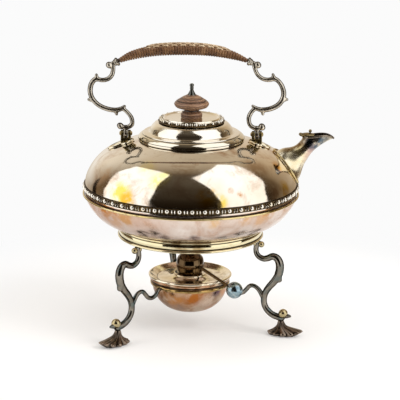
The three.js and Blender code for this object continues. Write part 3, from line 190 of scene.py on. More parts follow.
# Shoulder: rubbed often, so mostly mirror, with gold stains where drops dried low on its front.
shoulder_silver = plated_silver(
    "shoulder_silver", "#EDE6DA", "#DFCDB4", "#BFA286", 0.46, (0.035, 0.12, 0.1), 27,
    [((-65, -75, 151), 15, "#F0D264"), ((-59, -82, 147), 10, "#E0B040"),
     ((-30, -86, 166), 11, "#EEDC90"), ((-24, -84, 170), 8, "#EFE1A0"),
     ((15, -98, 153), 13, "#E0AE3A"), ((26, -97, 149), 10, "#EAC660"),
     ((37, -90, 159), 4, "#B98A60"), ((45, -88, 155), 4, "#C08E60"),
     ((-40, -69, 175), 12, "#EFE2B4"), ((80, -34, 168), 8, "#D29A40"),
     ((88, -49, 149), 12, "#D6B45C"), ((-81, -53, 158), 16, "#DDBE9C"),
     ((76, -62, 150), 13, "#B8A088"), ((62, -58, 175), 16, "#C4AE96")],
    # Painted shade in a band just above the girdle.
    [(143.2, 144.5)])
# Lid: as bright as the shoulder, with painted shade in the groove at the foot of its dome.
lid_silver = plated_silver("lid_silver", "#EEE7DA", "#E4D6B4", "#CDB27C", 0.3,
                           (0.06, 0.17, 0.1), 22, (), [(192.1, 192.9)])
# Collar: a little yellower than the lid, with painted shade in its two grooves.
collar_silver = plated_silver("collar_silver", "#E6DECD", "#DCCBA0", "#BFA46A", 0.3,
                              (0.04, 0.1, 0.1), 22, (), [(186, 187), (188.6, 189.3)])
# Spout: gold on its neck and pink on its flank, with painted light on it: a painted reflection in
# brown along the top of its neck, a painted highlight below that, and painted shade in blue-grey
# under the lip.
spout_silver = plated_silver(
    "spout_silver", "#EADFC4", "#DCC89E", "#B08E5C", 0.4, (0.18, 0.3, 0.12), 14,
    # Blue-grey patches under the lip are painted shade; the pale patch below the neck's top is a
    # painted highlight.
    [((114, -10, 179), 15, "#B89494"), ((122, -6, 186), 15, "#566570"),
     ((112, -7, 187), 9, "#434C54"), ((101, -9, 176), 12, "#EBDBA6"),
     # Brown patches along the top of the neck: a painted reflection.
     ((94, -3, 183), 12, "#6E4E22"), ((102, -3, 188), 11, "#6E4E22"),
     ((116, -9, 171), 10, "#DCBEAC"), ((131, -3, 189), 9, "#7C7972")])
# Lower bowl: warmed by the flame, so filmed pink nearly all over and orange at its widest. Its
# front carries a painted highlight, and painted shade low down.
bowl_silver = plated_silver(
    "bowl_silver", "#DFCFC4", "#D6BCAD", "#C6A28A", 0.55, (0.12, 0.28, 0.1), 18,
    [((-78, -62, 133), 24, "#BC7830"), ((-60, -80, 129), 12, "#CB9A68"),
     ((-70, -64, 124), 12, "#D0A27A"), ((70, -72, 134), 14, "#C8935C"),
     ((52, -87, 131), 10, "#D3A678"), ((62, -74, 127), 9, "#D8B08C"),
     # The pale patch at the front is a painted highlight; the two dark patches low on the front
     # are painted shade.
     ((-8, -95, 120), 10, "#EBE0D8"), ((4, -88, 113), 7, "#7A6660"),
     ((-24, -84, 113), 7, "#8A7468"), ((-92, -38, 131), 18, "#B5763C"),
     ((92, -40, 131), 16, "#B98A60"), ((20, -98, 131), 9, "#DDB990")],
    # Painted shade in a band between the girdle's wire and its beads.
    [(134.7, 136.6)])
# Stand ring: yellower plate, dulled by handling, with painted shade under its mouldings.
ring_silver = plated_silver("ring_silver", "#E4D9B4", "#DAC88C", "#B89C5C", 0.35,
                            (0.05, 0.13, 0.1), 24,
                            [((-12, -68, 99), 13, "#957E56"), ((6, -69, 97), 9, "#A89268")],
                            [(94.3, 95.7), (99.9, 101)])
# Burner's ring: brass-brown, heated by the burner that hangs in it.
holder_silver = plated_silver("holder_silver", "#C9B07A", "#B08A4C", "#6E5230", 0.6,
                              (0.1, 0.2, 0.1), 10)
# Burner: heat has turned the plate pink, orange and purple.
burner_silver = plated_silver(
    "burner_silver", "#C9B49C", "#B68B6A", "#9C6636", 0.65, (0.1, 0.26, 0.1), 11,
    [((-30, -18, 36), 22, "#86582F"), ((-14, -31, 34), 12, "#BE8450"),
     ((4, -35, 40), 13, "#B06A30"), ((25, -26, 41), 9, "#745A62"),
     ((12, -28, 28), 11, "#C7AFA0"), ((-9, -27, 26), 10, "#A0836E"),
     ((33, -14, 42), 10, "#C9792F"), ((17, -20, 21), 9, "#BE8450"),
     ((19, -30, 33), 12, "#DCC4B0")],
    # Painted shade in a band on the rim's side, just above the burner's holder ring.
    [(46.4, 48.8)])
# Sleeve over the wick: browned by smoke, still shining.
smoked_silver = plated_silver("smoked_silver", "#6C583F", "#503C26", "#342616", 0.5,
                              (0.06, 0.15, 0.12), 14)
# Burner's dished plate: a pale mirror, straw-coloured in clouds.
plate_silver = plated_silver("plate_silver", "#F2E8D2", "#DCC8A2", "#9C7E56", 0.5,
                             (0.06, 0.16, 0.12), 14)
# Beads and reels: bright and satiny on their polished tops.
bead_silver = plated_silver("bead_silver", "#F6F0E4", "#E8DABC", "#B8A070", 0.3,
                            (0.2, 0.32, 0.1), 12)
# Wires and rivets: gold-coloured, worn smooth.
wire_silver = plated_silver("wire_silver", "#DCC894", "#C7A860", "#7A5F34", 0.45,
                            (0.08, 0.18, 0.1), 12)
# Spout's lip: grey-brown, where steam has dulled it.
lip_silver = plated_silver("lip_silver", "#8C8274", "#6E5E44", "#3E3426", 0.55,
                           (0.07, 0.16, 0.1), 9)
# Lugs' leaves: bright on their flat middles, brown in small stains.
leaf_silver = plated_silver("leaf_silver", "#EDE4CC", "#D8C69A", "#8C744A", 0.35,
                            (0.1, 0.2, 0.1), 9)


def cast_silver(name, bare, dark, bloom, gloss, rub, edge_shade=0.0):
    """Cast and plated scrollwork, oxidised nearly black in its hollows.

    Rubbed to grey metal along the ridges, with a blue-green bloom on the flanks. Rub is how much
    bare metal shows. A slender scroll is shaded by its facing instead: its front and back keep the
    bare metal, and its edges are painted dark, as painted shade.
    """
    material, tree = new_material(name)
    place = own_place(tree)
    patches = add(tree, "TexNoise", {"Vector": place, "Scale": 1 / (7 * MM),
                                     "Detail": 3.0 if edge_shade else 7.0,
                                     "Roughness": 0.5 if edge_shade else 0.65})
    if edge_shade:
        turned_to = add(tree, "SeparateXYZ", [add(tree, "TexCoord", out="Normal")], "Y")
        turned_to = add(tree, "Math", [turned_to], operation="ABSOLUTE")
        front = add(tree, "MapRange", [turned_to, 0.4, 0.92, 1 - edge_shade, 1.0])
        clear = add(tree, "MapRange", [patches, 0.36, 0.6, 1.0, 0.45])
        ridge = add(tree, "Math", [front, clear], operation="MULTIPLY")
    else:
        ridge = add(tree, "MapRange", [add(tree, "NewGeometry", out="Pointiness"), 0.47, 0.56])
    worn = add(tree, "Math", [ridge, rub], operation="MULTIPLY", use_clamp=True)
    tinted = add(tree, "MapRange", [patches, 0.48, 0.68])
    colour = add(tree, "Mix", {"Factor": tinted, "A": dark, "B": bloom}, data_type="RGBA")
    colour = add(tree, "Mix", {"Factor": worn, "A": colour, "B": bare}, data_type="RGBA")
    # The sand mould's grain, about 0.6 mm, is left in the metal.
    grain = add(tree, "TexNoise", {"Vector": place, "Scale": 1 / (1.2 * MM), "Detail": 5.0})
    dull = add(tree, "MapRange", [grain, 0.3, 0.7, *gloss])
    bump = add(tree, "Bump", {"Strength": 0.05 if edge_shade else 0.25, "Distance": 0.25 * MM,
                              "Height": grain})
    inputs = {"Base Color": colour, "Roughness": dull, "Normal": bump, "Metallic": 1.0}
    if edge_shade:
        # Painted shade: a dark specular tint keeps the glancing reflection on the edges dark.
        inputs["Specular Tint"] = "#4E463C"
    return surfaced(material, inputs)


# Legs and brackets: grey metal on their faces, black painted shade at the edges, blue-green in
# places.
leg_silver = cast_silver("leg_silver", "#D2CABA", "#281D14", "#40585C", (0.05, 0.15), 0.45, 0.95)
# Balls on the legs: gold-brown and rubbed bright.
head_silver = cast_silver("head_silver", "#DDD0A6", "#6E5A38", "#A88A50", (0.1, 0.24), 0.7)
# Shell feet: brown, bare on their ribs.
foot_silver = cast_silver("foot_silver", "#B2A08E", "#241A12", "#5C483A", (0.08, 0.2), 0.75)
# Handle's arms: pale satin on their faces, brown painted shade at the edges.
arm_silver = cast_silver("arm_silver", "#E6DCCA", "#3E352A", "#5C5244", (0.22, 0.32), 1.0, 0.9)
# Lugs, hinge and crest: gold-brown, bare on their edges.
lug_silver = cast_silver("lug_silver", "#C4B282", "#4A3C26", "#8E7438", (0.24, 0.38), 0.7)
# Finial's bolt: cool grey, dark in its neck.
bolt_silver = cast_silver("bolt_silver", "#A2A29C", "#38362F", "#55605F", (0.08, 0.2), 0.6)


def mottled_metal(name, size, detail, rough, tones, dull):
    """Metal under an uneven film, whose spots of the given size set both colour and shine."""
    material, tree = new_material(name)
    film = add(tree, "TexNoise", {"Vector": own_place(tree), "Scale": 1 / (size * MM),
                                  "Detail": detail, "Roughness": rough})
    return surfaced(material, {"Base Color": add(tree, "ValToRGB", [film], stops=tones),
                               "Roughness": add(tree, "MapRange", [film, *dull]),
                               "Metallic": 1.0})


# Ground of the stamped strips: left black when the tops were polished.
strip_ground = mottled_metal("strip_ground", 3, 6.0, 0.65,
                             [(0.4, "#3C2C1A"), (0.72, "#806A46")], (0.3, 0.7, 0.5, 0.3))
# Ball handle: polished steel blued by heat, a glossy grey mirror under mottled blue oxide.
regulator_steel = mottled_metal("regulator_steel", 4, 8.0, 0.7,
                                [(0.34, "#5C7684"), (0.5, "#8FA6AF"), (0.66, "#C3CCCC")],
                                (0.35, 0.7, 0.1, 0.3))
# Rod and wick tube: drawn brass, browned unevenly by the flame.
rod_brass = mottled_metal("rod_brass", 6, 6.0, 0.65,
                          [(0.35, "#4A3B28"), (0.55, "#6B5537"), (0.75, "#8C7148")],
                          (0.3, 0.7, 0.42, 0.24))


def turned_fruitwood(name, centre, tones, grooves=()):
    """Fruitwood turned on a lathe and waxed: streaked brown grain, fine tool rings, soft sheen."""
    material, tree = new_material(name)
    place = own_place(tree)
    local = add(tree, "VectorMath", [place, centre], operation="SUBTRACT")
    # The plank's layers lie level in the knob, 2 mm apart.
    layers = add(tree, "TexWave", {"Vector": local, "Scale": 0.31 / (2 * MM), "Distortion": 3.5,
                                   "Detail": 4.0, "Detail Scale": 1.2, "Detail Roughness": 0.6},
                 "Fac", wave_type="BANDS", bands_direction="Z")
    fleck = add(tree, "TexNoise", {"Vector": local, "Scale": 1 / (2.2 * MM), "Detail": 8.0,
                                   "Roughness": 0.7})
    wood = add(tree, "ValToRGB", [layers], stops=list(zip((0.1, 0.5, 0.9), tones)))
    shade = add(tree, "ValToRGB", [fleck], stops=[(0.3, "#8A7464"), (0.7, "#FFF4E8")])
    colour = add(tree, "Mix", {"Factor": 0.45, "A": wood, "B": shade}, data_type="RGBA",
                 blend_type="MULTIPLY")
    # Painted shade darkens the turned grooves and the neck under the knob.
    if grooves:
        colour = add(tree, "Mix", {"Factor": shade_band_mask(tree, place, grooves, 0.85),
                                   "A": colour, "B": "#38241A"}, data_type="RGBA")
    # Tool rings 0.7 mm apart.
    height = add(tree, "SeparateXYZ", [local], "Z")
    tool = add(tree, "Math", [height, 2 * math.pi / (0.7 * MM)], operation="MULTIPLY")
    tool = add(tree, "Math", [tool], operation="SINE")
    bump = add(tree, "Bump", {"Strength": 0.2, "Distance": 0.08 * MM, "Height": tool})
    dull = add(tree, "MapRange", [fleck, 0.3, 0.7, 0.38, 0.55])
    return surfaced(material, {"Base Color": colour, "Roughness": dull, "Normal": bump,
                               "IOR": 1.5, "Coat Weight": 0.15, "Coat Roughness": 0.3})


def split_cane(name, tones):
    """Split rattan cane: tan, glossy on its skin, with fine fibres along the strand."""
    material, tree = new_material(name)
    place = own_place(tree)
    age = add(tree, "TexNoise", {"Vector": place, "Scale": 1 / (7 * MM), "Detail": 6.0,
                                 "Roughness": 0.6})
    colour = add(tree, "ValToRGB", [age], stops=list(zip((0.3, 0.5, 0.72), tones)))
    # Fibres are about 0.3 mm wide.
    along = add(tree, "Mapping", {"Vector": place, "Scale": (1.0, 0.2, 0.2)})
    fibre = add(tree, "TexNoise", {"Vector": along, "Scale": 1 / (0.5 * MM), "Detail": 4.0})
    shade = add(tree, "ValToRGB", [fibre], stops=[(0.35, "#8A7560"), (0.65, "#FFFFFF")])
    colour = add(tree, "Mix", {"Factor": 0.3, "A": colour, "B": shade}, data_type="RGBA",
                 blend_type="MULTIPLY")
    # Painted shade lies between the turns.
    gap_shade = add(tree, "MapRange",
                  [add(tree, "NewGeometry", out="Pointiness"), 0.47, 0.56, 0.95, 0.0])
    colour = add(tree, "Mix", {"Factor": gap_shade, "A": colour, "B": "#2C1A0E"},
                 data_type="RGBA")
    bump = add(tree, "Bump", {"Strength": 0.2, "Distance": 0.1 * MM, "Height": fibre})
    return surfaced(material, {"Base Color": colour, "Roughness": 0.42, "Normal": bump,
                               "IOR": 1.5})


def charred_cotton(name, top):
    """Plaited cotton wick: off-white strands, charred brown at the lit end."""
    material, tree = new_material(name)
    place = own_place(tree)
    height = add(tree, "SeparateXYZ", [place], "Z")
    burnt = add(tree, "MapRange", [height, (top - 4) * MM, top * MM])
    char = add(tree, "ValToRGB", [burnt],
               stops=[(0.0, "#D5C9B0"), (0.5, "#9B7F5A"), (1.0, "#33261C")])
    # Plaited strands 1.1 mm apart.
    plait = add(tree, "TexWave", {"Vector": place, "Scale": 0.3 / (1.1 * MM),
                                  "Distortion": 2.0, "Detail": 2.0},
                "Fac", bands_direction="DIAGONAL")
    shade = add(tree, "ValToRGB", [plait], stops=[(0.2, "#A39A8A"), (0.8, "#FFFFFF")])
    colour = add(tree, "Mix", {"Factor": 0.5, "A": char, "B": shade}, data_type="RGBA",
                 blend_type="MULTIPLY")
    bump = add(tree, "Bump", {"Strength": 0.5, "Distance": 0.3 * MM, "Height": plait})
    return surfaced(material, {"Base Color": colour, "Roughness": 0.9, "Normal": bump})


# Finial: streaked brown wood. The bands are the heights of its turned grooves and of the neck
# under its knob, where shade is painted.
finial_wood = turned_fruitwood(
    "finial_wood", tuple(at(3, 4, 215)), ("#765540", "#8B694E", "#9E7C5E"),
    [(209.5, 210.5), (213.6, 216.4), (223.5, 224.9), (225.9, 226.9)])
# Core of the grip: the same wood, painted dark as the shade under the cane.
core_wood_shaded = turned_fruitwood("core_wood_shaded", tuple(at(0, 0, 268)), ("#2E1F14", "#3C2A1C", "#4A3626"))
# Cane round the grip: brown with use. The strip woven over its top is painted paler, a painted
# highlight on the grip's top.
grip_cane_skin = split_cane("grip_cane_skin", ("#4E3018", "#704C2C", "#946E48"))
woven_cane_highlit = split_cane("woven_cane_highlit", ("#94785A", "#BFA482", "#E4D2B4"))
# Wick: cotton, charred over its last 4 mm.
wick_cotton = charred_cotton("wick_cotton", 69.5)

# Shaping: a part is a pair, its points in millimetres and its faces

ROUND = 180
SHARP_EDGE = math.radians(35)
STRAIGHT = math.radians(172)
TINY = 1e-6


def circle(count):
    """The angles of so many even steps round."""
    return [2 * math.pi * k / count for k in range(count)]


def ring_about(centre, out, across, sides):
    """A ring of points about a centre, from its two half widths."""
    return [centre + out * math.cos(a) + across * math.sin(a) for a in circle(sides)]


def curve(points, steps=6):
    """Points along a smooth curve through the given ones, which may carry extra values."""
    size = len(points[0])
    out = []
    for i in range(len(points) - 1):
        before, start = points[max(i - 1, 0)], points[i]
        end, after = points[i + 1], points[min(i + 2, len(points) - 1)]
        for k in range(steps):
            t = k / steps
            out.append(tuple(
                0.5 * (2 * start[n] + (end[n] - before[n]) * t
                       + (2 * before[n] - 5 * start[n] + 4 * end[n] - after[n]) * t ** 2
                       + (3 * start[n] - before[n] - 3 * end[n] + after[n]) * t ** 3)
                for n in range(size)))
    out.append(tuple(points[-1]))
    return out


def eased(profile, radius, steps=3):
    """A profile whose corners are rounded by up to the given radius."""
    out = []
    for i, here in enumerate(profile):
        if i in (0, len(profile) - 1):
            out.append(tuple(here))
            continue
        here, before, after = Vector(here), Vector(profile[i - 1]), Vector(profile[i + 1])
        back, ahead = before - here, after - here
        if back.length < TINY or ahead.length < TINY or back.angle(ahead) > STRAIGHT:
            out.append(tuple(here))
            continue
        reach = min(radius, back.length * 0.45, ahead.length * 0.45)
        start, end = here + back.normalized() * reach, here + ahead.normalized() * reach
        for k in range(steps + 1):
            t = k / steps
            out.append(tuple(start * (1 - t) ** 2 + here * 2 * t * (1 - t) + end * t ** 2))
    return out


def loop(points, radius, steps=3):
    """A closed profile with its corners rounded, all but the first."""
    return eased(points + points[:1], radius, steps)[:-1]


def thinned(profile, wall):
    """A profile moved square to itself, to its left as it runs, by the wall."""
    out = []
    for i, (r, z) in enumerate(profile):
        before, after = profile[max(i - 1, 0)], profile[min(i + 1, len(profile) - 1)]
        along = Vector((after[0] - before[0], after[1] - before[1])).normalized()
        out.append((r - along.y * wall, z + along.x * wall))
    return out


def turned(profile, sides=ROUND):
    """Spins a profile of radius and height. One that doesn't end on the axis closes on itself."""
    points, faces, rings = [], [], []
    for r, z in profile:
        if r < TINY:
            rings.append([len(points)])
            points.append(Vector((0, 0, z)))
            continue
        rings.append(list(range(len(points), len(points) + sides)))
        points += [Vector((r * math.cos(a), r * math.sin(a), z)) for a in circle(sides)]
    pairs = list(zip(rings, rings[1:]))
    if profile[0][0] > TINY:
        pairs.append((rings[-1], rings[0]))
    for a, b in pairs:
        for k in range(sides):
            n = (k + 1) % sides
            if len(a) == 1 and len(b) == 1:
                continue
            if len(a) == 1:
                faces.append((a[0], b[n], b[k]))
            elif len(b) == 1:
                faces.append((a[k], a[n], b[0]))
            else:
                faces.append((a[k], a[n], b[n], b[k]))
    return points, faces


def skinned(rings, closed=False):
    """Joins rings of equal counts, capping the ends unless the last ring meets the first."""
    count = len(rings[0])
    points = [Vector(p) for ring in rings for p in ring]
    faces = []
    spans = len(rings) if closed else len(rings) - 1
    for i in range(spans):
        a, b = i * count, ((i + 1) % len(rings)) * count
        for k in range(count):
            n = (k + 1) % count
            faces.append((a + k, a + n, b + n, b + k))
    if not closed:
        faces.append(tuple(range(count - 1, -1, -1)))
        faces.append(tuple(range((len(rings) - 1) * count, len(rings) * count)))
    return points, faces


def drawn(line, sides=14, steps=6, tips=True):
    """A round bar along points of x, y, z and radius, with rounded tips."""
    path = curve(line, steps)
    if tips:
        caps = []
        for tip, inner in ((path[0], path[1]), (path[-1], path[-2])):
            here = Vector(tip[:3])
            way = (here - Vector(inner[:3])).normalized()
            caps.append([tuple(here + way * tip[3] * math.sin(a) * 0.8) + (tip[3] * math.cos(a),)
                         for a in (math.radians(75), math.radians(50), math.radians(25))])
        path = caps[0] + path + caps[1][::-1]
    rings, normal = [], None
    for i, step in enumerate(path):
        here = Vector(step[:3])
        before = Vector(path[max(i - 1, 0)][:3])
        after = Vector(path[min(i + 1, len(path) - 1)][:3])
        along = (after - before).normalized()
        if normal is None:
            normal = Vector((0, 1, 0)) if abs(along.y) < 0.9 else Vector((1, 0, 0))
        normal = (normal - along * normal.dot(along)).normalized()
        across = along.cross(normal)
        rings.append(ring_about(here, normal * step[3], across * step[3], sides))
    return skinned(rings)


def ball(radius, x, y, z, sides=24, squash=(1, 1, 1)):
    """A ball, or an egg where it is squashed along x, y or z."""
    rows = sides // 2
    arc = [(radius * math.sin(math.pi * k / rows), -radius * math.cos(math.pi * k / rows))
           for k in range(rows + 1)]
    arc[0], arc[-1] = (0, -radius), (0, radius)
    points, faces = turned(arc, sides)
    return [Vector((p.x * squash[0] + x, p.y * squash[1] + y, p.z * squash[2] + z))
            for p in points], faces


def moved(part, change):
    """A part with each point moved by a matrix or a function."""
    points, faces = part
    return [change @ p if isinstance(change, Matrix) else change(p) for p in points], faces


def together(*parts):
    """Several closed parts as one."""
    points, faces = [], []
    for some, sides in parts:
        shift = len(points)
        points += some
        faces += [tuple(shift + i for i in face) for face in sides]
    return points, faces


def around_axis(part, degrees):
    """A part turned about the kettle's axis."""
    return moved(part, Matrix.Rotation(math.radians(degrees), 4, "Z"))


def made(name, points, faces, outward=False):
    """A mesh as an object in the scene, its faces all turned outward where that is asked."""
    mesh = bpy.data.meshes.new(name)
    mesh.from_pydata(points, [], faces)
    if outward:
        work = bmesh.new()
        work.from_mesh(mesh)
        bmesh.ops.recalc_face_normals(work, faces=work.faces)
        work.to_mesh(mesh)
        work.free()
    item = bpy.data.objects.new(name, mesh)
    bpy.context.collection.objects.link(item)
    return item


def worked(*blanks):
    """The first blank's part after its modifiers. All the blanks are thrown away."""
    seen = blanks[0].evaluated_get(bpy.context.evaluated_depsgraph_get())
    result = seen.to_mesh()
    done = [v.co.copy() for v in result.vertices], [tuple(p.vertices) for p in result.polygons]
    seen.to_mesh_clear()
    for rough in blanks:
        bpy.data.meshes.remove(rough.data)
    return done


def fused(part, voxel, rubs=3):
    """Overlapping parts melted into one skin with soft joints, as in a casting."""
    rough = made("blank", *part, outward=True)
    remesh = rough.modifiers.new("melt", "REMESH")
    remesh.mode = "VOXEL"
    remesh.voxel_size = voxel
    soften = rough.modifiers.new("rub", "SMOOTH")
    soften.factor = 0.5
    soften.iterations = rubs
    return worked(rough)


def bored(part, drills):
    """A part with holes where the drills went through."""
    rough, tool = made("blank", *part, outward=True), made("drills", *drills, outward=True)
    hole = rough.modifiers.new("bore", "BOOLEAN")
    hole.operation = "DIFFERENCE"
    hole.object = tool
    return worked(rough, tool)


def placed(name, part, body, node, material, tops=None):
    """Makes the piece: it rides on its body and stands for its CAD node.

    Tops are further parts of the same piece with a finish of their own: the part and its material.
    """
    first = len(part[1])
    if tops:
        part = together(part, tops[0])
    piece = made(name, [at(*p) for p in part[0]], part[1], outward=True)
    mesh = piece.data
    mesh.shade_smooth()
    mesh.set_sharp_from_angle(angle=SHARP_EDGE)
    mesh.materials.append(material)
    if tops:
        mesh.materials.append(tops[1])
        for face in mesh.polygons[first:]:
            face.material_index = 1
    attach(piece, body)
    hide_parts(node)


# Kettle body

BODY_RADIUS = 101.6
SEAM_Z = 137.2
COLLAR_BASE = 186.2
COLLAR_TOP = 192.4
COLLAR_RADIUS = 50.4
MOUTH_RADIUS = 44.8
BOWL_BASE = 99.5
SHELL_WALL = 1.2
SHOULDER_RISE = 49

# The bowl's side, from the edge of its flat bottom: shares of its spread and of its rise.
BOWL_EDGE, BOWL_SPREAD, BOWL_RISE = (70, 103.4), 31.6, 33.8
BOWL_OUTLINE = [(0, 0), (0.19, 0.067), (0.427, 0.17), (0.649, 0.33), (0.823, 0.532),
                (0.956, 0.742), (1, 0.92), (1, 1)]
bowl_side = curve([(BOWL_EDGE[0] + a * BOWL_SPREAD, BOWL_EDGE[1] + b * BOWL_RISE)
                   for a, b in BOWL_OUTLINE], 8)
bowl_under = eased([(0, BOWL_BASE), (64.8, BOWL_BASE), (66.6, 101.3), (66.6, 103.1),
                    bowl_side[0]], 1.2)
bowl_outside = bowl_under[:-1] + bowl_side
bowl_inside = [(0, BOWL_BASE + SHELL_WALL)] + thinned(bowl_outside, SHELL_WALL)[1:-1]
bowl_inside.append((BODY_RADIUS - SHELL_WALL, SEAM_Z))
placed("body_bowl_shell", turned(bowl_outside + bowl_inside[::-1]), "kettle", "body_lower",
       bowl_silver)

SHOULDER_OUTLINE = [(0, 0), (0, 0.14), (0.035, 0.305), (0.13, 0.49), (0.255, 0.645),
                    (0.395, 0.755), (0.56, 0.845), (0.72, 0.905), (0.87, 0.958), (1, 1)]
shoulder_line = curve([(BODY_RADIUS - a * (BODY_RADIUS - COLLAR_RADIUS),
                        SEAM_Z + b * SHOULDER_RISE) for a, b in SHOULDER_OUTLINE], 8)


def shoulder_radius(z):
    """The shoulder's outer radius at a height."""
    for (r0, z0), (r1, z1) in zip(shoulder_line, shoulder_line[1:]):
        if z1 >= z > z0:
            return r0 + (r1 - r0) * (z - z0) / (z1 - z0)
    return BODY_RADIUS


def on_shoulder(x, y, lift):
    """A point over the shoulder, lifted off its skin."""
    reach = math.hypot(x, y)
    for (r0, z0), (r1, z1) in zip(shoulder_line, shoulder_line[1:]):
        if r1 <= reach <= r0 and r0 > r1:
            slope = (z1 - z0) / (r1 - r0)
            return Vector((x, y, z0 + (reach - r0) * slope + lift * math.hypot(1, slope)))
    return Vector((x, y, COLLAR_BASE + lift))


shoulder_inside = thinned(shoulder_line, SHELL_WALL)
shoulder_inside[0] = (BODY_RADIUS - SHELL_WALL, SEAM_Z)
shoulder_shell = (shoulder_line + [(MOUTH_RADIUS, COLLAR_BASE),
                                   (MOUTH_RADIUS, COLLAR_BASE - SHELL_WALL)]
                  + shoulder_inside[::-1])

# Straining holes behind the spout: one in the middle and six round it.
STRAINER_HOLE, STRAINER_PITCH, STRAINER_Z, DRILL_REACH = 1.9, 6.5, 160.3, 4
drills = []
for k in range(7):
    angle, reach = k * math.pi / 3, STRAINER_PITCH if k else 0
    y, z = reach * math.sin(angle), STRAINER_Z + reach * math.cos(angle)
    slope = shoulder_radius(z + 0.5) - shoulder_radius(z - 0.5)
    turn = Vector((0, 0, 1)).rotation_difference(Vector((1, 0, -slope))).to_matrix().to_4x4()
    drill = turned([(0, -DRILL_REACH), (STRAINER_HOLE, -DRILL_REACH),
                    (STRAINER_HOLE, DRILL_REACH), (0, DRILL_REACH)], 24)
    drills.append(moved(drill, Matrix.Translation((shoulder_radius(z), y, z)) @ turn))
placed("body_shoulder_shell", bored(turned(shoulder_shell), together(*drills)), "kettle",
       "body_upper", shoulder_silver)

# Girdle: bright beads and reels over the seam, in a blackened channel between two fillets.
BAND_LOW, BAND_TOP, BAND_EDGE = 138.2, 143.6, 0.5
BAND_RADIUS, FILLET_RADIUS = 102.2, 102.8
GIRDLE_BEADS = 55
band = turned(eased([(101.9, BAND_LOW), (BAND_RADIUS, BAND_LOW), (BAND_RADIUS, BAND_TOP),
                     (101.9, BAND_TOP)], 0.1, 2))


def beaded(count, radius, height, bead, reel, offset):
    """A ring of round beads with a pair of thin reels between each two.

    A bead or a reel is its radius and how tall it is for that. The offset turns the ring.
    """
    parts = []
    pitch = 360 / count
    for k in range(count):
        egg = ball(bead[0], radius, 0, height, 12, (0.8, 1, bead[1]))
        parts.append(around_axis(egg, k * pitch + offset))
        for shift in (-0.115, 0.115):
            bar = ball(reel[0], radius - 0.1, 0, height, 8, (0.9, 0.42, reel[1]))
            parts.append(around_axis(bar, (k + 0.5 + shift) * pitch + offset))
    return parts


def fillet(low, top):
    """A narrow raised edge of the stamped strip."""
    return turned(loop([(101.95, low), (FILLET_RADIUS, low), (FILLET_RADIUS, top),
                        (101.95, top)], 0.3))


band = together(band, fillet(BAND_LOW, BAND_LOW + BAND_EDGE),
                fillet(BAND_TOP - BAND_EDGE, BAND_TOP))
girdle_beads = together(*beaded(GIRDLE_BEADS, BAND_RADIUS, (BAND_LOW + BAND_TOP) / 2,
                                (2.15, 1), (1.75, 1.2), 2.5))
placed("girdle_bead_and_reel", band, "kettle", "girdle_band", strip_ground,
       tops=(girdle_beads, bead_silver))


def hoop(radius, height, wide, high, rows):
    """A wire bent into a ring, from its radius and its section's half width and height."""
    return turned([(radius + wide * math.cos(a), height + high * math.sin(a))
                   for a in circle(rows)])


placed("girdle_plain_wire", hoop(102.9, 134, 1, 1, 12), "kettle", "girdle_wire",
       wire_silver)

foot_ring = loop([(64.8, 94.2), (66.6, 94.2), (66.6, 96), (65.4, 97.6), (63.3, 99.5),
                  (61.2, 99.5), (61.2, 97.9)], 0.5)
placed("kettle_foot_ring", turned(foot_ring), "kettle", "kettle_foot",
       bowl_silver)

collar_side = curve([(50.2, COLLAR_BASE), (50.9, 187.3), (50.8, 188.8), (49.9, 190.4),
                     (48.4, 191.7), (47.2, COLLAR_TOP)], 4)
collar = collar_side + [(MOUTH_RADIUS, COLLAR_TOP), (MOUTH_RADIUS, COLLAR_BASE)]
placed("mouth_collar_moulded", turned(collar), "kettle", "mouth_collar",
       collar_silver)

# Spout

SPOUT_LOW, SPOUT_HIGH, SPOUT_HALF = 146, 174.6, 17
MOUTH_X, MOUTH_Z, MOUTH_LENGTH, MOUTH_HALF = 106, 190.2, 30, 8
SPOUT_SIDES = 64
# Each station is its top and its bottom, from the mouth's root, and its half width.
SPOUT_STATIONS = [
    ((-18.3, -12.1), (-1.2, -37.7), 13.2), ((-10.7, -10.8), (1.5, -28.7), 10.6),
    ((-6, -8.7), (5.2, -21.7), 9), ((-2.5, -5.4), (9.6, -15.2), 8.2),
    ((-0.4, -2.4), (15.2, -10), 7.9), ((0, -0.9), (22.5, -5), 8)]


def spout_root(angle, lift, spread):
    """A point on the oval where the spout meets the shoulder."""
    z = (SPOUT_LOW + SPOUT_HIGH) / 2 + ((SPOUT_HIGH - SPOUT_LOW) / 2 + spread) * math.cos(angle)
    y = (SPOUT_HALF + spread) * math.sin(angle)
    slope = shoulder_radius(z + 0.5) - shoulder_radius(z - 0.5)
    tilt = math.hypot(1, slope)
    radius = shoulder_radius(z) + lift / tilt
    return Vector((math.sqrt(radius ** 2 - y ** 2), y, z - lift * slope / tilt))


def spout_ring(station, inside):
    """One oval of the spout."""
    (ax, az), (bx, bz), half = station
    top, low = Vector((MOUTH_X + ax, MOUTH_Z + az)), Vector((MOUTH_X + bx, MOUTH_Z + bz))
    middle, reach = (top + low) / 2, (top - low).length / 2 - inside
    up = (top - middle).normalized()
    return [Vector((middle.x + up.x * reach * math.cos(a), (half - inside) * math.sin(a),
                    middle.y + up.y * reach * math.cos(a))) for a in circle(SPOUT_SIDES)]


def spout_lip(inside):
    """The pear-shaped edge of the mouth, dipping to its tip."""
    ring = []
    for angle in circle(SPOUT_SIDES):
        front = (1 - math.cos(angle)) / 2
        width = (MOUTH_HALF - inside) * math.sin(angle) * (1.12 - 0.42 * front)
        rise = 1.6 * math.sin(math.pi * front ** 2) - 1.4 * front ** 8
        ring.append(Vector((MOUTH_X + inside + (MOUTH_LENGTH - 2 * inside) * front, width,
                            MOUTH_Z + rise)))
    return ring


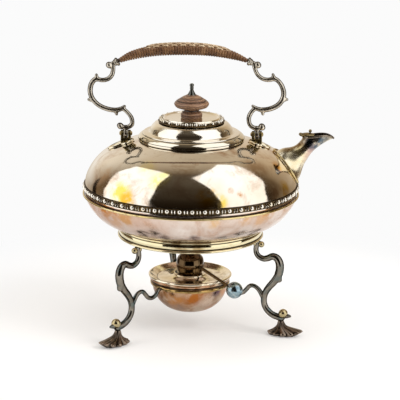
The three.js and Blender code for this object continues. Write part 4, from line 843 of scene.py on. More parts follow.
def spout_skin(inside):
    """The spout's rings from the body to the mouth, smoothed along their length."""
    rings = [[spout_root(a, 0.3, -inside) for a in circle(SPOUT_SIDES)]]
    rings += [spout_ring(station, inside) for station in SPOUT_STATIONS]
    rings.append(spout_lip(inside))
    lines = [curve([tuple(ring[k]) for ring in rings], 6) for k in range(SPOUT_SIDES)]
    return [[Vector(line[i]) for line in lines] for i in range(len(lines[0]))]


spout_shell = skinned(spout_skin(0) + spout_skin(1)[::-1], closed=True)
# The mouth's edge is wired: a round bead runs along it.
LIP_WIRE = 0.95
lip_path = spout_lip(0.35)
lip_bead_rings = []
for i, here in enumerate(lip_path):
    along = (lip_path[(i + 1) % len(lip_path)] - lip_path[i - 1]).normalized()
    side = along.cross(Vector((0, 0, 1))).normalized()
    lip_bead_rings.append(ring_about(here, side * LIP_WIRE, side.cross(along) * LIP_WIRE, 10))
placed("spout_raised", spout_shell, "kettle", "spout", spout_silver,
       tops=(skinned(lip_bead_rings, closed=True), lip_silver))

ROOT_WIRE, WIRE_LIFT = 0.9, 1.2
wire_rings = []
for angle in circle(96):
    centre = spout_root(angle, WIRE_LIFT, WIRE_LIFT)
    outward = (spout_root(angle, WIRE_LIFT + 1, WIRE_LIFT) - centre).normalized()
    ahead = (spout_root(angle + 0.01, WIRE_LIFT, WIRE_LIFT) - centre).normalized()
    across = ahead.cross(outward).normalized()
    wire_rings.append(ring_about(centre, outward * ROOT_WIRE, across * ROOT_WIRE, 12))
placed("spout_root_wire", skinned(wire_rings, closed=True), "kettle", "spout_base_wire",
       wire_silver)

# Crest: a small leaf that curls back over the mouth, with a bead standing on it.
CREST_Z, CREST_WIDE, STEM_X = 191.3, 3.6, MOUTH_X + 7.4
crest_leaf = drawn([(MOUTH_X + x, 0, CREST_Z + z, r) for x, z, r in (
    (-2.4, -0.2, 0.5), (-1.5, 0.3, 1.1), (2, 0.8, 1.5), (6, 1, 1.5), (10.6, 0.7, 1.1))], 16)
crest_leaf = moved(crest_leaf, lambda p: Vector(
    (p.x, p.y * CREST_WIDE, p.z - 0.09 * abs(p.y) * CREST_WIDE)))
crest_stem = drawn([(STEM_X, 0, CREST_Z + z, r) for z, r in ((1, 1), (2.6, 0.65), (3.6, 0.8))],
                   12, 5)
crest_bead = ball(1.6, STEM_X, 0, CREST_Z + 4.2, 16)
crest_curl = ball(1.6, MOUTH_X - 1.6, 0, CREST_Z + 0.9, 16, (1.25, 2.4, 0.9))
crest = fused(together(crest_leaf, crest_stem, crest_bead, crest_curl), 0.25, 2)
placed("spout_crest_scroll", crest, "kettle", "spout_crest", lug_silver)

# Handle lugs and their pins

PIVOT_X = 62.5
PIVOT_Z = 191.6
EYE_RADIUS = 3.4
CHEEK_IN, CHEEK_OUT = 2.05, 4.9
LEAF_OUTER = {"left": 17.5, "right": 13.4}
LEAF_WAIST, LEAF_LOBE = 5.2, 2.6


def leaf_reach(angle, outer):
    """How far the lug's leaf reaches in a direction: long and pointed outward, lobed elsewhere."""
    outward = max(math.cos(angle), 0) ** 5 * (outer - LEAF_WAIST)
    inward = max(-math.cos(angle), 0) ** 4 * LEAF_LOBE
    sideways = abs(math.sin(angle)) ** 5 * LEAF_LOBE
    return LEAF_WAIST + outward + inward + sideways


def lug_leaf(outer):
    """A leaf that follows the shoulder, flat inside its raised rim."""
    rings = []
    for share, lift in ((0.02, 0.45), (0.5, 0.45), (0.97, 0.45), (1.0, 0.9), (0.985, 1.7),
                        (0.93, 2), (0.86, 1.35), (0.78, 1.05), (0.5, 1.05), (0.3, 1.5),
                        (0.14, 2.1), (0.02, 2.2)):
        rings.append([on_shoulder(PIVOT_X + leaf_reach(a, outer) * share * math.cos(a),
                                  leaf_reach(a, outer) * share * math.sin(a), lift)
                      for a in circle(96)])
    return skinned(rings)


def across_bar(radius, length, x, z):
    """A round pin along x with eased edges."""
    half = length / 2
    ease = min(0.25, half / 2, radius / 3)
    profile = [(0, -half), (radius - ease, -half), (radius, -half + ease), (radius, half - ease),
               (radius - ease, half), (0, half)]
    turn = Matrix.Translation((x, 0, z)) @ Matrix.Rotation(math.pi / 2, 4, "Y")
    return moved(turned(profile, 32), turn)


def lug_cheek(side):
    """A round-topped cheek beside the bail's eye, swelling toward its foot."""
    x = PIVOT_X + side * (CHEEK_IN + CHEEK_OUT) / 2
    half = (CHEEK_OUT - CHEEK_IN) / 2
    foot = [(5, -8.6), (4, -5.4), (3.5, -2.6)]
    crown = [(EYE_RADIUS * math.cos(a), EYE_RADIUS * math.sin(a))
             for a in [math.pi * k / 14 for k in range(15)]]
    outline = foot + crown + [(-y, z) for y, z in foot[::-1]]
    rings = []
    for shift, shrink in ((-half, 0.5), (-half + 0.5, 0), (half - 0.5, 0), (half, 0.5)):
        rings.append([Vector((x + shift, y * (1 - shrink / 4), PIVOT_Z + z * (1 - shrink / 4)))
                      for y, z in outline])
    return skinned(rings)


def lug_seat():
    """The solid foot that joins the two cheeks under the bail's eye."""
    low, top = PIVOT_Z - 9, PIVOT_Z - EYE_RADIUS - 0.15
    outline = loop([(-CHEEK_OUT, low), (CHEEK_OUT, low), (CHEEK_OUT, top - 0.8), (0, top),
                    (-CHEEK_OUT, top - 0.8)], 0.5)
    return skinned([[Vector((PIVOT_X + x, y, z)) for x, z in outline] for y in (-4.1, 4.1)])


def mirrored(part, hand):
    """The part on its own side: as made on the right, turned over for the left."""
    return moved(part, Matrix.Diagonal((-1 if hand == "left" else 1, 1, 1, 1)))


for hand in ("left", "right"):
    knuckle = fused(together(lug_cheek(-1), lug_cheek(1), lug_seat()), 0.3, 2)
    placed(f"handle_lug_{hand}", mirrored(knuckle, hand), "kettle", f"lug_{hand}",
           lug_silver, tops=(mirrored(lug_leaf(LEAF_OUTER[hand]), hand), leaf_silver))
    pin = together(across_bar(1.1, 2 * (CHEEK_OUT + 0.8), PIVOT_X, PIVOT_Z),
                   *(ball(2.1, PIVOT_X + side * (CHEEK_OUT + 0.35), 0, PIVOT_Z, 20, (0.5, 1, 1))
                     for side in (1, -1)))
    placed(f"rivet_{hand}", mirrored(pin, hand), "kettle", f"pivot_pin_{hand}",
           wire_silver)

# Lid

LID_RIM = 46.8
STUD = 2.3
PANEL_Z = 207.4
LID_TOP = 208.7
# From the flange's edge in to the dome's foot, up its cove and over to the bead's seat.
LID_OUTLINE = [(46.2, 193.54), (41.1, 193.87), (39.5, 195.66), (38.5, 198.3), (36.7, 200.7),
               (34.3, 202.7), (29.6, 203.9)]
lid_flange = eased([(45.8, COLLAR_TOP), (LID_RIM, COLLAR_TOP), LID_OUTLINE[0], (43, 193.75)],
                   0.4)
lid_slope = eased([(43, 193.75), (41.1, 193.87), (40.2, 194.3)], 0.4)[1:-1]
lid_dome_side = curve([(40.2, 194.3)] + LID_OUTLINE[2:], 7)
lid_crown = eased([(29.6, 203.9), (28.4, 204.7), (27.4, 207.6), (26.6, LID_TOP),
                   (25.6, 208.4), (24, PANEL_Z), (STUD, PANEL_Z)], 0.5)
lid_outside = lid_flange + lid_slope + lid_dome_side + lid_crown[1:]
lid_inside = [(40.4, COLLAR_TOP + 0.2), (38.6, 194.6), (37.5, 197.8), (35.9, 199.9),
              (33.7, 201.6), (30, 202.6), (25, 205.8), (23.6, 206.4), (STUD, 206.4)]
placed("lid_stepped_dome", turned(lid_outside + lid_inside[::-1]), "lid", "lid_dome",
       lid_silver)

LID_BEADS = 21
bead_seat = turned(loop([(28.9, 204.6), (31.6, 204.3), (31.9, 204.9), (31.4, 205.3),
                         (30.2, 205.2), (29.2, 206.9), (28.9, 206.9)], 0.2, 2))
lid_beads = together(*beaded(LID_BEADS, 29.6, 206.3, (1.95, 1.02), (1.3, 1.4), 4))
placed("lid_bead_and_reel", bead_seat, "lid", "lid_beading", strip_ground,
       tops=(lid_beads, bead_silver))
placed("lid_inner_bezel", turned(loop([(43.3, 187.4), (44.1, 187.4), (44.3, 188.2),
                                       (44.3, 192.3), (43.3, 192.3)], 0.3)),
       "lid", "lid_bezel", bowl_silver)

# Hinge at the back: two knuckles on the body, one on the lid.
HINGE_Y, HINGE_Z = 52.8, 192.9
KNUCKLE, KNUCKLE_BORE = 2.1, 1.05


def hinge_barrel(length, x):
    """A rolled knuckle with its bore."""
    half = length / 2
    profile = loop([(KNUCKLE_BORE, -half), (KNUCKLE, -half), (KNUCKLE, half),
                    (KNUCKLE_BORE, half)], 0.25)
    turn = Matrix.Translation((x, HINGE_Y, HINGE_Z)) @ Matrix.Rotation(math.pi / 2, 4, "Y")
    return moved(turned(profile, 36), turn)


def hinge_plate(outline, width, x):
    """A bent plate of even width."""
    ring = loop(outline, 0.3, 2)
    return skinned([[Vector((x + shift, y, z)) for y, z in ring]
                    for shift in (-width / 2, width / 2)])


BODY_KNUCKLE, BODY_KNUCKLE_X, LID_KNUCKLE = 4.8, 5.1, 4.6
body_leaf = [hinge_plate([(50.7, 186.8), (53.4, 186.8), (54.5, 191.4), (53.3, 192),
                          (50.7, 190.5)], BODY_KNUCKLE, side * BODY_KNUCKLE_X)
             for side in (-1, 1)]
body_barrels = [hinge_barrel(BODY_KNUCKLE, side * BODY_KNUCKLE_X) for side in (-1, 1)]
placed("hinge_body_half", together(*body_leaf, *body_barrels), "kettle", "hinge_leaf_body",
       lug_silver)
hinge_wire = moved(across_bar(0.8, 15.6, 0, HINGE_Z), Matrix.Translation((0, HINGE_Y, 0)))
placed("hinge_wire_pin", hinge_wire, "kettle", "hinge_pin", arm_silver)
lid_leaf = hinge_plate([(52.8, 193.9), (52.8, 195), (46.8, 195.4), (46.2, 195.7),
                        (42.2, 195.9), (42.2, 194.25), (46.2, 194), (47.1, 193.3)],
                       LID_KNUCKLE, 0)
placed("hinge_lid_half", together(lid_leaf, hinge_barrel(LID_KNUCKLE, 0)), "lid",
       "hinge_leaf_lid", lug_silver)

# Finial: a turned wooden foot and knob, a silver bolt with a ball tip, and a nut inside.
KNOB_Z, KNOB_RADIUS, KNOB_RISE = 215.6, 16.5, 14
TIP_Z, TIP_RADIUS, TIP_RISE = 229.6, 4.2, 11.1
finial_foot = loop([(STUD, PANEL_Z), (9.8, PANEL_Z), (10.3, 208.8), (10.3, 209.6), (9.7, 210),
                    (10.3, 210.4), (10.3, 211.3), (8.9, 213.2), (7.1, 214), (7.1, KNOB_Z),
                    (STUD, KNOB_Z)], 0.35)
placed("finial_turned_foot", turned(finial_foot, 120), "lid", "finial_foot",
       finial_wood)
KNOB_OUTLINE = [(0.46, 0), (0.56, 0.04), (0.88, 0.155), (1, 0.34), (0.985, 0.46), (0.9, 0.575),
                (0.84, 0.62), (0.57, 0.83), (0.37, 0.95), (0.29, 1)]
knob_low, knob_high = (curve([(a * KNOB_RADIUS, KNOB_Z + b * KNOB_RISE) for a, b in half], 5)
                       for half in (KNOB_OUTLINE[:6], KNOB_OUTLINE[6:]))
# A groove is turned between the knob's belly and its cone.
knob_groove = [(13.3, 223.85), (13.3, 224.4), (13.8, 224.5)]
knob_line = loop(knob_low + knob_groove + knob_high[1:] + [(STUD, TIP_Z), (STUD, KNOB_Z)], 0.15)
placed("finial_turned_knob", turned(knob_line, 120), "lid", "finial_knob",
       finial_wood)
TIP_OUTLINE = [(1, 0), (0.82, 0.12), (0.5, 0.34), (0.38, 0.5), (0.48, 0.58), (0.38, 0.66),
               (0.5, 0.82), (0.4, 0.95), (0, 1)]
tip_line = curve([(a * TIP_RADIUS, TIP_Z + b * TIP_RISE) for a, b in TIP_OUTLINE], 5)
placed("finial_bolt_and_tip", turned([(0, 202.6), (2, 202.6), (2, TIP_Z)] + tip_line, 64),
       "lid", "finial_bolt", bolt_silver)
# The nut has six sides.
placed("finial_square_nut", turned(loop([(STUD, 203.4), (4.4, 203.4), (4.4, 206.4),
                                         (STUD, 206.4)], 0.3), 6),
       "lid", "finial_nut", bowl_silver)

# Bail handle

ARM_RADIUS = 1.8
# Melting a casting into one skin takes this much off it, so it is drawn fatter.
MELT_LOSS = 0.4
LEAN_FROM = PIVOT_Z + EYE_RADIUS + 2
BAIL_LEAN, BAIL_TILT = 0.13, 0.011
GRIP_TOP = PIVOT_Z + 81.6
GRIP_HALF, GRIP_DROP = 61.5, 11.4
GRIP_RADIUS, GRIP_END = 5.8, 3.1


def leaned(p):
    """The handle stands a little to the left, and its right side a little higher."""
    above = max(p.z - LEAN_FROM, 0)
    return Vector((p.x - BAIL_LEAN * above, p.y,
                   p.z + BAIL_TILT * p.x * min(above / EYE_RADIUS / 4, 1)))


ARCH = [(0, 0), (0.33, 0.06), (0.58, 0.25), (0.8, 0.55), (1, 1)]
arch_right = [(a * GRIP_HALF, GRIP_TOP - b * GRIP_DROP) for a, b in ARCH]
arch = curve([(-x, z) for x, z in arch_right[:0:-1]] + arch_right, 24)
arch_steps = [0.0]
for (x0, z0), (x1, z1) in zip(arch, arch[1:]):
    arch_steps.append(arch_steps[-1] + math.hypot(x1 - x0, z1 - z0))
ARCH_LENGTH = arch_steps[-1]
FERRULE_START = ARCH_LENGTH / 2 - 0.3


def grip_frame(distance):
    """The grip's middle line at a distance from its centre: the point and the way along."""
    want = distance + ARCH_LENGTH / 2
    i = 0
    while i < len(arch) - 2 and arch_steps[i + 1] < want:
        i += 1
    span = arch_steps[i + 1] - arch_steps[i]
    share = (want - arch_steps[i]) / span
    (x0, z0), (x1, z1) = arch[i], arch[i + 1]
    along = Vector((x1 - x0, 0, z1 - z0)).normalized()
    return Vector((x0 + (x1 - x0) * share, 0, z0 + (z1 - z0) * share)), along


def grip_radius(distance):
    """The grip swells between its sockets."""
    share = min(abs(distance) / FERRULE_START, 1)
    return GRIP_END + (GRIP_RADIUS - GRIP_END) * (1 - share ** 2.6)


def grip_point(distance, turn, radius):
    """A point about the grip: along it, round it and out from it."""
    centre, along = grip_frame(distance)
    up = Vector((-along.z, 0, along.x))
    return centre + up * radius * math.cos(turn) + Vector((0, radius * math.sin(turn), 0))


def grip_tube(rings, sides=32):
    """Rings of distance and radius along the grip, as one skin."""
    return skinned([[grip_point(d, a, r) for a in circle(sides)] for d, r in rings])


CORE_HALF, CORE_END, WRAP = ARCH_LENGTH / 2 + 1.5, 1.4, 1.75
core_steps = [(FERRULE_START - 1) * (k / 24 - 1) for k in range(49)]
core_rings = ([(-CORE_HALF, CORE_END)] + [(d, grip_radius(d) - WRAP) for d in core_steps]
              + [(CORE_HALF, CORE_END)])
placed("grip_wood_core", moved(grip_tube(core_rings), leaned), "bail", "grip_core",
       core_wood_shaded)

# A socket's profile, past the end of the grip and out from its wall.
BORE = GRIP_END - WRAP + 0.45
SOCKET_WALL = BORE + 1.25
SOCKET = [(-0.1, 0.1), (0.4, 0.75), (1.2, 1), (2.1, 0.75), (2.7, 0.1), (3.4, 0.1), (4.2, -0.2),
          (5, -1.1)]
socket = [(CORE_HALF + 0.3, BORE), (FERRULE_START, BORE)] + [
    (FERRULE_START + d, SOCKET_WALL + r) for d, r in SOCKET]
for hand, side in (("left", -1), ("right", 1)):
    placed(f"grip_socket_{hand}", moved(grip_tube([(side * d, r) for d, r in socket], 40), leaned),
           "bail", f"ferrule_{hand}", arm_silver)

UPPER_SCROLL = [(-1.8, 27.1, 0.6), (1.7, 24.6, 0.98), (6.9, 23.2, 1.12), (14, 24, 1.16),
                (20.6, 26.6, 1.16), (25.6, 30.7, 1.18), (28.7, 36.4, 1.18), (29.1, 42.6, 1.18),
                (26.9, 49, 1.14), (22.3, 53.2, 1.08), (16.6, 52.2, 1.02), (11, 53.2, 1),
                (6.8, 56.8, 0.98), (4.8, 61.8, 0.96), (3.8, 69, 0.9)]
LOWER_SCROLL = [(0.4, 24.6, 0.9), (-3.2, 21.4, 0.95), (-6.3, 16.6, 1), (-6.9, 12, 1.02),
                (-5.6, 8.2, 1.05), (-1.6, 5.9, 1.05), (2.6, 5.9, 1.05), (5, 7.2, 1)]
SPURS = [((27, 32.6), (32, 33.4)), ((7.5, 23.4), (7, 18.8)), ((21.8, 52.6), (21, 57.6))]


def on_arm(x, z, share):
    """A point of an arm's scroll, with its radius."""
    return (PIVOT_X + x, 0, PIVOT_Z + z, share * ARM_RADIUS + MELT_LOSS)


for hand in ("left", "right"):
    parts = [drawn([on_arm(*p) for p in UPPER_SCROLL]), drawn([on_arm(*p) for p in LOWER_SCROLL])]
    for (x0, z0), (x1, z1) in SPURS:
        parts.append(drawn([on_arm(x0, z0, 1.15), on_arm((x0 + x1) / 2, (z0 + z1) / 2, 0.85),
                            on_arm(x1, z1, 0.6)], 12, 4))
    parts.append(ball(3.4, PIVOT_X + 5, 0, PIVOT_Z + 7.2))
    parts.append(ball(3.3, PIVOT_X + 7.8, 0, PIVOT_Z + 66.6))
    parts.append(drawn([on_arm(4.4, 66.6, 0.75), on_arm(8.4, 67, 0.6)], 12, 3))
    parts.append(across_bar(3.6, 3.7, PIVOT_X, PIVOT_Z))
    parts.append(drawn([(PIVOT_X, 0, PIVOT_Z + 2, 2), (PIVOT_X, 0, PIVOT_Z + 6.4, 2.4)], 14, 3))
    casting = fused(together(*parts), 0.42, 18)
    placed(f"bail_scroll_{hand}", moved(mirrored(casting, hand), leaned), "bail",
           f"bail_arm_{hand}", arm_silver)

# Cane: one strand wound close round the core.
CANE_TURNS, STEPS_A_TURN = 50, 26
CANE_THICK, CANE_WIDE = 0.6, 0.45
cane_half = FERRULE_START - 0.3
cane_steps = CANE_TURNS * STEPS_A_TURN
cane_pitch = 2 * cane_half / CANE_TURNS
strand_rings = []
for i in range(cane_steps + 1):
    share = 2 * i / cane_steps - 1
    distance, turn = share * (cane_half - 1), share * CANE_TURNS * math.pi
    # The strand is shaved thin towards its ends, where it slips under the sockets.
    shaved = max(0, (abs(share) - 0.78) / 0.22)
    middle = grip_radius(distance) - 0.8 - 0.65 * shaved
    strand_rings.append([grip_point(distance + CANE_WIDE * cane_pitch * math.cos(a), turn,
                                    middle + (CANE_THICK - 0.15 * shaved) * math.sin(a))
                         for a in circle(10)])
# Over its top five long strands go over and under the turns, each half a step from the next.
WOVEN_FROM, WOVEN_TO, WOVEN_STEPS = -34, 46, 252
WOVEN_ROWS, ROW_TURN, WOVEN_RADIUS = 5, 0.33, 0.82
WEAVE = 8.4
TUCKED, TAPER = 6, 36
woven_parts = []
for row in range(WOVEN_ROWS):
    line = []
    for i in range(WOVEN_STEPS + 1):
        distance = WOVEN_FROM + (WOVEN_TO - WOVEN_FROM) * i / WOVEN_STEPS
        over = math.sin(2 * math.pi * distance / WEAVE + row * math.pi)
        from_end = min(i, WOVEN_STEPS - i)
        lift = max(-1.1, min(0.6, 2 * over - 0.2)) if from_end >= TUCKED else -0.9
        whole = min(1, 0.35 + from_end / TAPER)
        place = grip_point(distance, ROW_TURN * (row - 2),
                           grip_radius(distance) - 0.35 + lift * whole)
        line.append(tuple(place) + (WOVEN_RADIUS * whole,))
    woven_parts.append(drawn(line, 10, 1))
# The woven strip over the top takes the paler cane: a painted highlight.
placed("grip_cane_wrap", moved(skinned(strand_rings), leaned), "bail", "grip_cane",
       grip_cane_skin, tops=(moved(together(*woven_parts), leaned), woven_cane_highlit))

# Stand

LEG_ANGLES = (-17.5, 102.5, 222.5)
stand_outline = loop([(58.7, 92), (69.2, 92), (70.2, 92.7), (70.2, 93.7), (69.6, 94.4),
                      (68.5, 94.8), (68.5, 95.3), (69.1, 95.8), (69.1, 99.8), (68.5, 100.3),
                      (68.5, 100.6), (69.6, 101), (69.9, 101.7), (69.6, 102.5), (68.8, 102.8),
                      (67.2, 102.8), (67.2, 94.2), (58.7, 94.2)], 0.35)
placed("stand_moulded_ring", turned(stand_outline), "stand", "stand_ring",
       ring_silver)
placed("burner_holder_ring", hoop(37.75, 44.9, 0.85, 1.5, 16), "stand", "burner_ring",
       holder_silver)

LEG_RADIUS = 2.6
LEG_LINE = [(68.6, 93, 0.66), (66.4, 87, 0.8), (66.2, 81.2, 0.84), (68.6, 76.8, 0.88),
            (73.4, 74.7, 0.96), (78.2, 75.7, 1.04), (82.6, 77.8, 1.12), (86.9, 76.4, 1.24),
            (89.5, 72, 1.36), (90, 66, 1.4), (88.6, 59.6, 1.34), (84.6, 53, 1.24),
            (79.6, 46.8, 1.14), (76, 40.6, 1.06), (74.7, 34, 1), (75.9, 27.6, 1),
            (79.8, 22.3, 1.04), (85.4, 18.9, 1.08), (93.2, 17.2, 1.16)]


def on_leg(x, z, share):
    """A point of a leg's scroll, with its radius."""
    return (x, 0, z, share * LEG_RADIUS + MELT_LOSS)


# The balls at a leg's head and on its ankle: radius and place.
LEG_BALLS = [(3, 71.2, 0, 88.7), (2.5, 65.4, 0, 88.9), (4.6, 94.2, 0, 21.6)]
RING_UNDERSIDE = 91.7
leg_parts = [
    drawn([on_leg(*p) for p in LEG_LINE], 16),
    drawn([on_leg(72.2, 89.2, 0.7), on_leg(68.2, 88.6, 0.7)], 12, 3),
    drawn([on_leg(88.6, 62, 1.25), on_leg(89, 58, 1.1), on_leg(89.4, 54.6, 0.95)], 14, 4),
    ball(3.6, *LEG_BALLS[-1][1:]),
    drawn([on_leg(90.5, 19.4, 0.7), on_leg(97, 19.6, 0.8), on_leg(101.4, 19.6, 0.3)], 12, 4)]
leg_balls = together(*(ball(*place) for place in LEG_BALLS))
leg_cast = moved(fused(together(*leg_parts), 0.5),
                 lambda p: Vector((p.x, p.y, min(p.z, RING_UNDERSIDE))))

# Layers of a foot from its neck down: height, shift outward, length, width and the toe's lift.
FOOT_RIBS, RIB_DEPTH, TOE_LIFT = 12, 0.27, 3
FOOT_X, FOOT_NECK, FOOT_LONG, FOOT_WIDE = 92, 14.2, 16.5, 9.5
FOOT_LAYERS = [(FOOT_NECK, 0, 0.17, 0.3, 0), (9.5, 1, 0.3, 0.44, 0), (6, 3.2, 0.64, 0.76, 0.5),
               (3.2, 4.5, 1, 1, 1), (1.4, 3.8, 0.95, 0.93, 0.9), (0, 1.5, 0.72, 0.6, 0)]
foot_rings = []
for z, shift, long, wide, lift in curve(FOOT_LAYERS, 5):
    depth = RIB_DEPTH * max(1 - z / FOOT_NECK, 0) ** 0.6
    ring = []
    for a in circle(144):
        flute = 1 + depth * (abs(math.cos(a * FOOT_RIBS / 2)) - 0.78)
        ring.append(Vector((FOOT_X + shift + FOOT_LONG * long * flute * math.cos(a),
                            FOOT_WIDE * wide * flute * math.sin(a),
                            max(z, 0) + TOE_LIFT * lift * max(math.cos(a), 0) ** 2)))
    foot_rings.append(ring)
foot_cast = skinned(foot_rings)

BRACKET_RADIUS = 2.15
BRACKET_LINE = [(75, 33.5, 1.1), (72, 39.6, 1.08), (68.6, 44.2, 1), (64.6, 46.6, 0.95),
                (60.6, 46.2, 0.95), (57.4, 42.8, 1), (54, 39.2, 1), (49.4, 37.8, 0.95),
                (44.8, 39.4, 0.9), (41.8, 43.4, 0.9), (38.75, 44.9, 0.9)]
bracket_bar = drawn([(x, 0, z, share * BRACKET_RADIUS) for x, z, share in BRACKET_LINE],
                    tips=False)
bracket_cast = fused(bracket_bar, 0.4, 2)

for i, degrees in enumerate(LEG_ANGLES, 1):
    placed(f"leg_scroll_{i}", around_axis(leg_cast, degrees), "stand", f"leg_{i}",
           leg_silver, tops=(around_axis(leg_balls, degrees), head_silver))
    placed(f"foot_shell_{i}", around_axis(foot_cast, degrees), "stand", f"foot_{i}",
           foot_silver)
    placed(f"bracket_scroll_{i}", around_axis(bracket_cast, degrees), "stand", f"bracket_{i}",
           leg_silver)

# Burner and regulator

WAIST = 36.55
BURNER_BASE, BURNER_DEPTH = 16.8, 29.6
PLATE_Z = 51.2
burner_side = curve([(a * WAIST, BURNER_BASE + b * BURNER_DEPTH) for a, b in
                     [(0, 0), (0.33, 0.02), (0.61, 0.14), (0.81, 0.34), (0.93, 0.57), (0.99, 0.8),
                      (1, 1)]], 7)
burner_side[0] = (0, BURNER_BASE)
burner_hollow = [(r * 0.972, BURNER_BASE + 1 + (z - BURNER_BASE) * 0.966) for r, z in burner_side]
burner_rim = eased([(WAIST, 46.4), (37.7, 46.4), (38, 48.2), (38.9, 48.9), (38.9, 50.2),
                    (38.35, PLATE_Z), (37.35, PLATE_Z), (35.55, 46.4)], 0.3)
burner_outline = burner_side + burner_rim[1:] + burner_hollow[:-1][::-1]
placed("burner_spun_bowl", turned(burner_outline), "burner", "burner_bowl",
       burner_silver)

plate_outline = loop([(5.7, 48.6), (32, 48.6), (35.6, PLATE_Z), (39.6, PLATE_Z), (40.4, 51.9),
                      (40.4, 52.8), (39.8, 53.7), (38.7, 53.9), (37.6, 53.2), (32, 49.9),
                      (28, 49.6), (23.9, 49.8), (19.8, 50.5), (17.2, 51.6), (15.8, 52.9),
                      (15.4, 54), (5.7, 54)], 0.7)
placed("burner_dished_plate", turned(plate_outline), "burner", "burner_plate",
       plate_silver)
wick_tube = loop([(4.6, 33.2), (5.4, 33.2), (5.4, 47.3), (7.8, 47.3), (7.8, 48.3), (5.4, 48.3),
                  (5.4, 67), (4.6, 67)], 0.2)
placed("wick_brass_tube", turned(wick_tube, 64), "burner", "wick_tube",
       rod_brass)
wick_side = eased([(0.01, 25.2), (4.2, 25.2), (4.3, 66), (4.5, 68.7), (3.6, 69.6), (2, 69.9)],
                  0.5)
placed("wick_plaited", turned([(0, 25.2)] + wick_side[1:] + [(0, 69.6)], 48), "burner", "wick",
       wick_cotton)

SLEEVE_Z, SLEEVE_RISE, SLEEVE_RADIUS, SLEEVE_MOUTH = 54.3, 19.5, 13.4, 7
SLEEVE_OUTLINE = [(0.84, 0), (0.93, 0.1), (1, 0.36), (0.985, 0.58), (0.88, 0.8)]
sleeve_side = curve([(a * SLEEVE_RADIUS, SLEEVE_Z + b * SLEEVE_RISE) for a, b in SLEEVE_OUTLINE]
                    + [(SLEEVE_MOUTH, SLEEVE_Z + SLEEVE_RISE)], 7)
sleeve_inside = thinned(sleeve_side, 1)
sleeve_inside[0] = (sleeve_side[0][0] - 1, SLEEVE_Z)
placed("regulator_barrel", turned(sleeve_side + sleeve_inside[::-1]), "regulator",
       "regulator_sleeve", smoked_silver)

ROD_ANGLE, BALL_RADIUS, BALL_REACH = -47, 8, 8.3
rod_start, ball_at = Vector((13.7, 0, 62.1)), Vector((62, 0, 50))
rod_end = ball_at - (ball_at - rod_start).normalized() * BALL_REACH
rod = drawn([tuple(rod_start) + (1.66,), tuple((rod_start + rod_end) / 2) + (1.5,),
             tuple(rod_end) + (1.4,)], 20, tips=False)
placed("regulator_drawn_rod", around_axis(rod, ROD_ANGLE), "regulator", "regulator_rod",
       rod_brass)
placed("regulator_ball_handle", around_axis(ball(BALL_RADIUS, *ball_at, 64), ROD_ANGLE),
       "regulator", "regulator_ball", regulator_steel)

# Studio: floor, backdrop light, and what the polished metal mirrors

LOOK_FROM = Vector((0, 0, 0.15))
LAMPS_AIM = Vector((0, 0, 0.12))
CARD_DISTANCE, DOORWAY_DISTANCE, ROOM = 1.5, 1.8, 2.6
UNSEEN = ("visible_camera", "visible_diffuse", "visible_shadow", "visible_transmission",
          "visible_volume_scatter")


def toward(azimuth, elevation, distance):
    """A place in metres seen from the kettle: azimuth is 0 toward the camera, then rightward."""
    a, e = math.radians(azimuth), math.radians(elevation)
    way = Vector((math.sin(a) * math.cos(e), -math.cos(a) * math.cos(e), math.sin(e)))
    return LOOK_FROM + way * distance


def mirrored_only(name, points, faces, glow):
    """A glowing surface that only mirrors see. Glow gives the inputs of its light for a tree."""
    shown = made(name, points, faces)
    material, tree = new_material(name)
    add(tree, "OutputMaterial", {"Surface": add(tree, "Emission", glow(tree))})
    shown.data.materials.append(material)
    for sight in UNSEEN:
        setattr(shown, sight, False)


def studio_card(name, outline, distance, colour, strength):
    """A bent card, given by the azimuth and elevation of its edge."""
    edge = [toward(a, e, distance) for a, e in outline]
    middle = sum(edge, Vector()) / len(edge)
    faces = [(0, k, k % len(edge) + 1) for k in range(1, len(edge) + 1)]
    mirrored_only(name, [middle] + edge, faces,
                  lambda tree: {"Color": colour, "Strength": strength})


LEFT_WINDOW = [(-44, -24), (-44, 20), (-45, 37), (-50, 52), (-57, 65), (-72, 73), (-97, 76),
               (-122, 69), (-128, 61), (-134, 51), (-122, 44), (-112, 32), (-105, 18),
               (-101, -24)]
RIGHT_WINDOW = [(32, -24), (31, 17), (29, 35), (26, 50), (20, 62), (12, 71), (3, 80), (70, 86),
                (132, 81), (150, 71), (159, 60), (147, 55), (125, 52), (107, 45), (99, 32),
                (90, 22), (86, 12), (86, -24)]
DOORWAY = [(-128, -12), (-127, 8), (-122, 16), (-118, -12)]
studio_card("left_softbox", LEFT_WINDOW, CARD_DISTANCE, "#FFFFFF", 1.4)
studio_card("right_softbox", RIGHT_WINDOW, CARD_DISTANCE, "#FFFFFF", 1.4)
studio_card("left_doorway", DOORWAY, DOORWAY_DISTANCE, "#1E160E", 1.0)


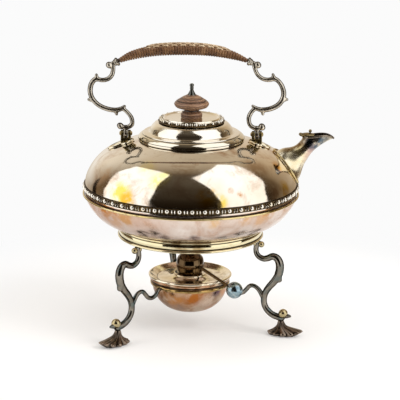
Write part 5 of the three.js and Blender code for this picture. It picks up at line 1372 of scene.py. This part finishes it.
def room_glow(tree):
    """The room's light: dark above and toward the camera, pale at the back, duller rightward."""
    place = own_place(tree)
    across, deep, high = (add(tree, "SeparateXYZ", [place], way) for way in "XYZ")
    up = add(tree, "MapRange", [high, -0.6, ROOM])
    dark = add(tree, "ValToRGB", [up], stops=[
        (0.0, "#1A140D"), (0.25, "#1E170F"), (0.5, "#2C251C"), (0.85, "#443C31"),
        (1.0, "#5A5246")])
    side = add(tree, "MapRange", [deep, -0.1 * ROOM, 0.45 * ROOM])
    dark = add(tree, "Mix", {"Factor": side, "A": dark, "B": "#7C684E"}, data_type="RGBA")
    pale = add(tree, "ValToRGB", [up], stops=[
        (0.0, "#D8C8B0"), (0.24, "#FDF8F0"), (0.6, "#F2E6D4"), (0.88, "#D0C3AE")])
    right = add(tree, "MapRange", [across, -1.0, 1.4])
    tint = add(tree, "ValToRGB", [right], stops=[(0.0, "#FFFFFF"), (1.0, "#D9CCB9")])
    pale = add(tree, "Mix", {"Factor": 1.0, "A": pale, "B": tint}, data_type="RGBA",
               blend_type="MULTIPLY")
    back = add(tree, "Math", [high, 0.45, deep], operation="MULTIPLY_ADD")
    paled = add(tree, "MapRange", [back, 0.52 * ROOM, 0.96 * ROOM])
    colour = add(tree, "Mix", {"Factor": paled, "A": dark, "B": pale}, data_type="RGBA")
    return {"Color": colour, "Strength": 1.0}


# The room round the softboxes is a dome from 30 degrees below level.
COLUMNS, ROWS = 72, 24
dome = [toward(360 * i / COLUMNS, -30 + 120 * j / ROWS, ROOM)
        for j in range(ROWS) for i in range(COLUMNS)] + [toward(0, 90, ROOM)]
dome_faces = []
for j in range(ROWS):
    for i in range(COLUMNS):
        a, b = j * COLUMNS + i, j * COLUMNS + (i + 1) % COLUMNS
        last = j == ROWS - 1
        dome_faces.append((a, b, len(dome) - 1) if last else (a, b, b + COLUMNS, a + COLUMNS))
mirrored_only("dark_room", dome, dome_faces, room_glow)

# Floor: white paper that keeps the shadow. Mirrors see only the sheet under the stand.
paper, tree = new_material("white_paper")
bare = add(tree, "BsdfDiffuse", {"Color": "#F0EFEE"})
shaded = add(tree, "BsdfDiffuse", {"Color": "#DCDAD8"})
lift = add(tree, "Emission", {"Color": "#FFFFFF", "Strength": 0.25})
near = add(tree, "AddShader", [shaded, lift])
# Past the shadow the paper is lit evenly up to the backdrop.
even = add(tree, "Emission", {"Color": "#FBFBFB", "Strength": 1.0})
away = add(tree, "VectorMath", [own_place(tree)], operation="LENGTH")
far = add(tree, "MapRange", [away, 0.17, 0.36], interpolation_type="SMOOTHSTEP")
seen = add(tree, "MixShader", [far, near, even])
add(tree, "OutputMaterial", {"Surface": add(
    tree, "MixShader", [add(tree, "LightPath", out="Is Camera Ray"), bare, seen])})

SHEET, FLOOR, FLOOR_SIDES = 0.42, 8, 72
sheet_edge = [Vector((SHEET * math.cos(a), SHEET * math.sin(a), 0)) for a in circle(FLOOR_SIDES)]
around = [(k, FLOOR_SIDES + k, FLOOR_SIDES + (k + 1) % FLOOR_SIDES, (k + 1) % FLOOR_SIDES)
          for k in range(FLOOR_SIDES)]
for name, points, faces in (
        ("floor", sheet_edge, [tuple(range(FLOOR_SIDES))]),
        ("floor_around", sheet_edge + [p * (FLOOR / SHEET) for p in sheet_edge], around)):
    sheet = made(name, points, faces)
    sheet.data.materials.append(paper)
    sheet.visible_glossy = name == "floor"

# World: white where the camera or a mirror looks past everything, a plain pale grey as light.
world = bpy.data.worlds.new("studio")
bpy.context.scene.world = world
world.use_nodes = True
tree = world.node_tree
tree.nodes.clear()
shown = 0.0
for kind in ("Glossy", "Transmission", "Camera"):
    ray = add(tree, "LightPath", out=f"Is {kind} Ray")
    shown = add(tree, "Math", [ray, shown], operation="MAXIMUM")
soft = add(tree, "Background", {"Color": "#F2F0EC", "Strength": 0.72})
white = add(tree, "Background", {"Color": "#FBFBFB", "Strength": 1.0})
add(tree, "OutputWorld", {"Surface": add(tree, "MixShader", [shown, soft, white])})

# Square soft lamps that point at the kettle: azimuth, elevation, distance, size and power.
for name, azimuth, elevation, distance, size, power in (
        ("left_lamp", -75, 50, 1.5, 1.0, 6), ("right_lamp", 60, 34, 1.5, 0.9, 15),
        ("top_lamp", 180, 75, 1.6, 1.2, 5)):
    data = bpy.data.lights.new(name, "AREA")
    data.size, data.energy = size, power
    lamp = bpy.data.objects.new(name, data)
    bpy.context.collection.objects.link(lamp)
    lamp.location = toward(azimuth, elevation, distance)
    lamp.rotation_euler = (LAMPS_AIM - lamp.location).to_track_quat("-Z", "Y").to_euler()
    lamp.visible_glossy = False

bpy.context.scene.view_settings.view_transform = "Standard"
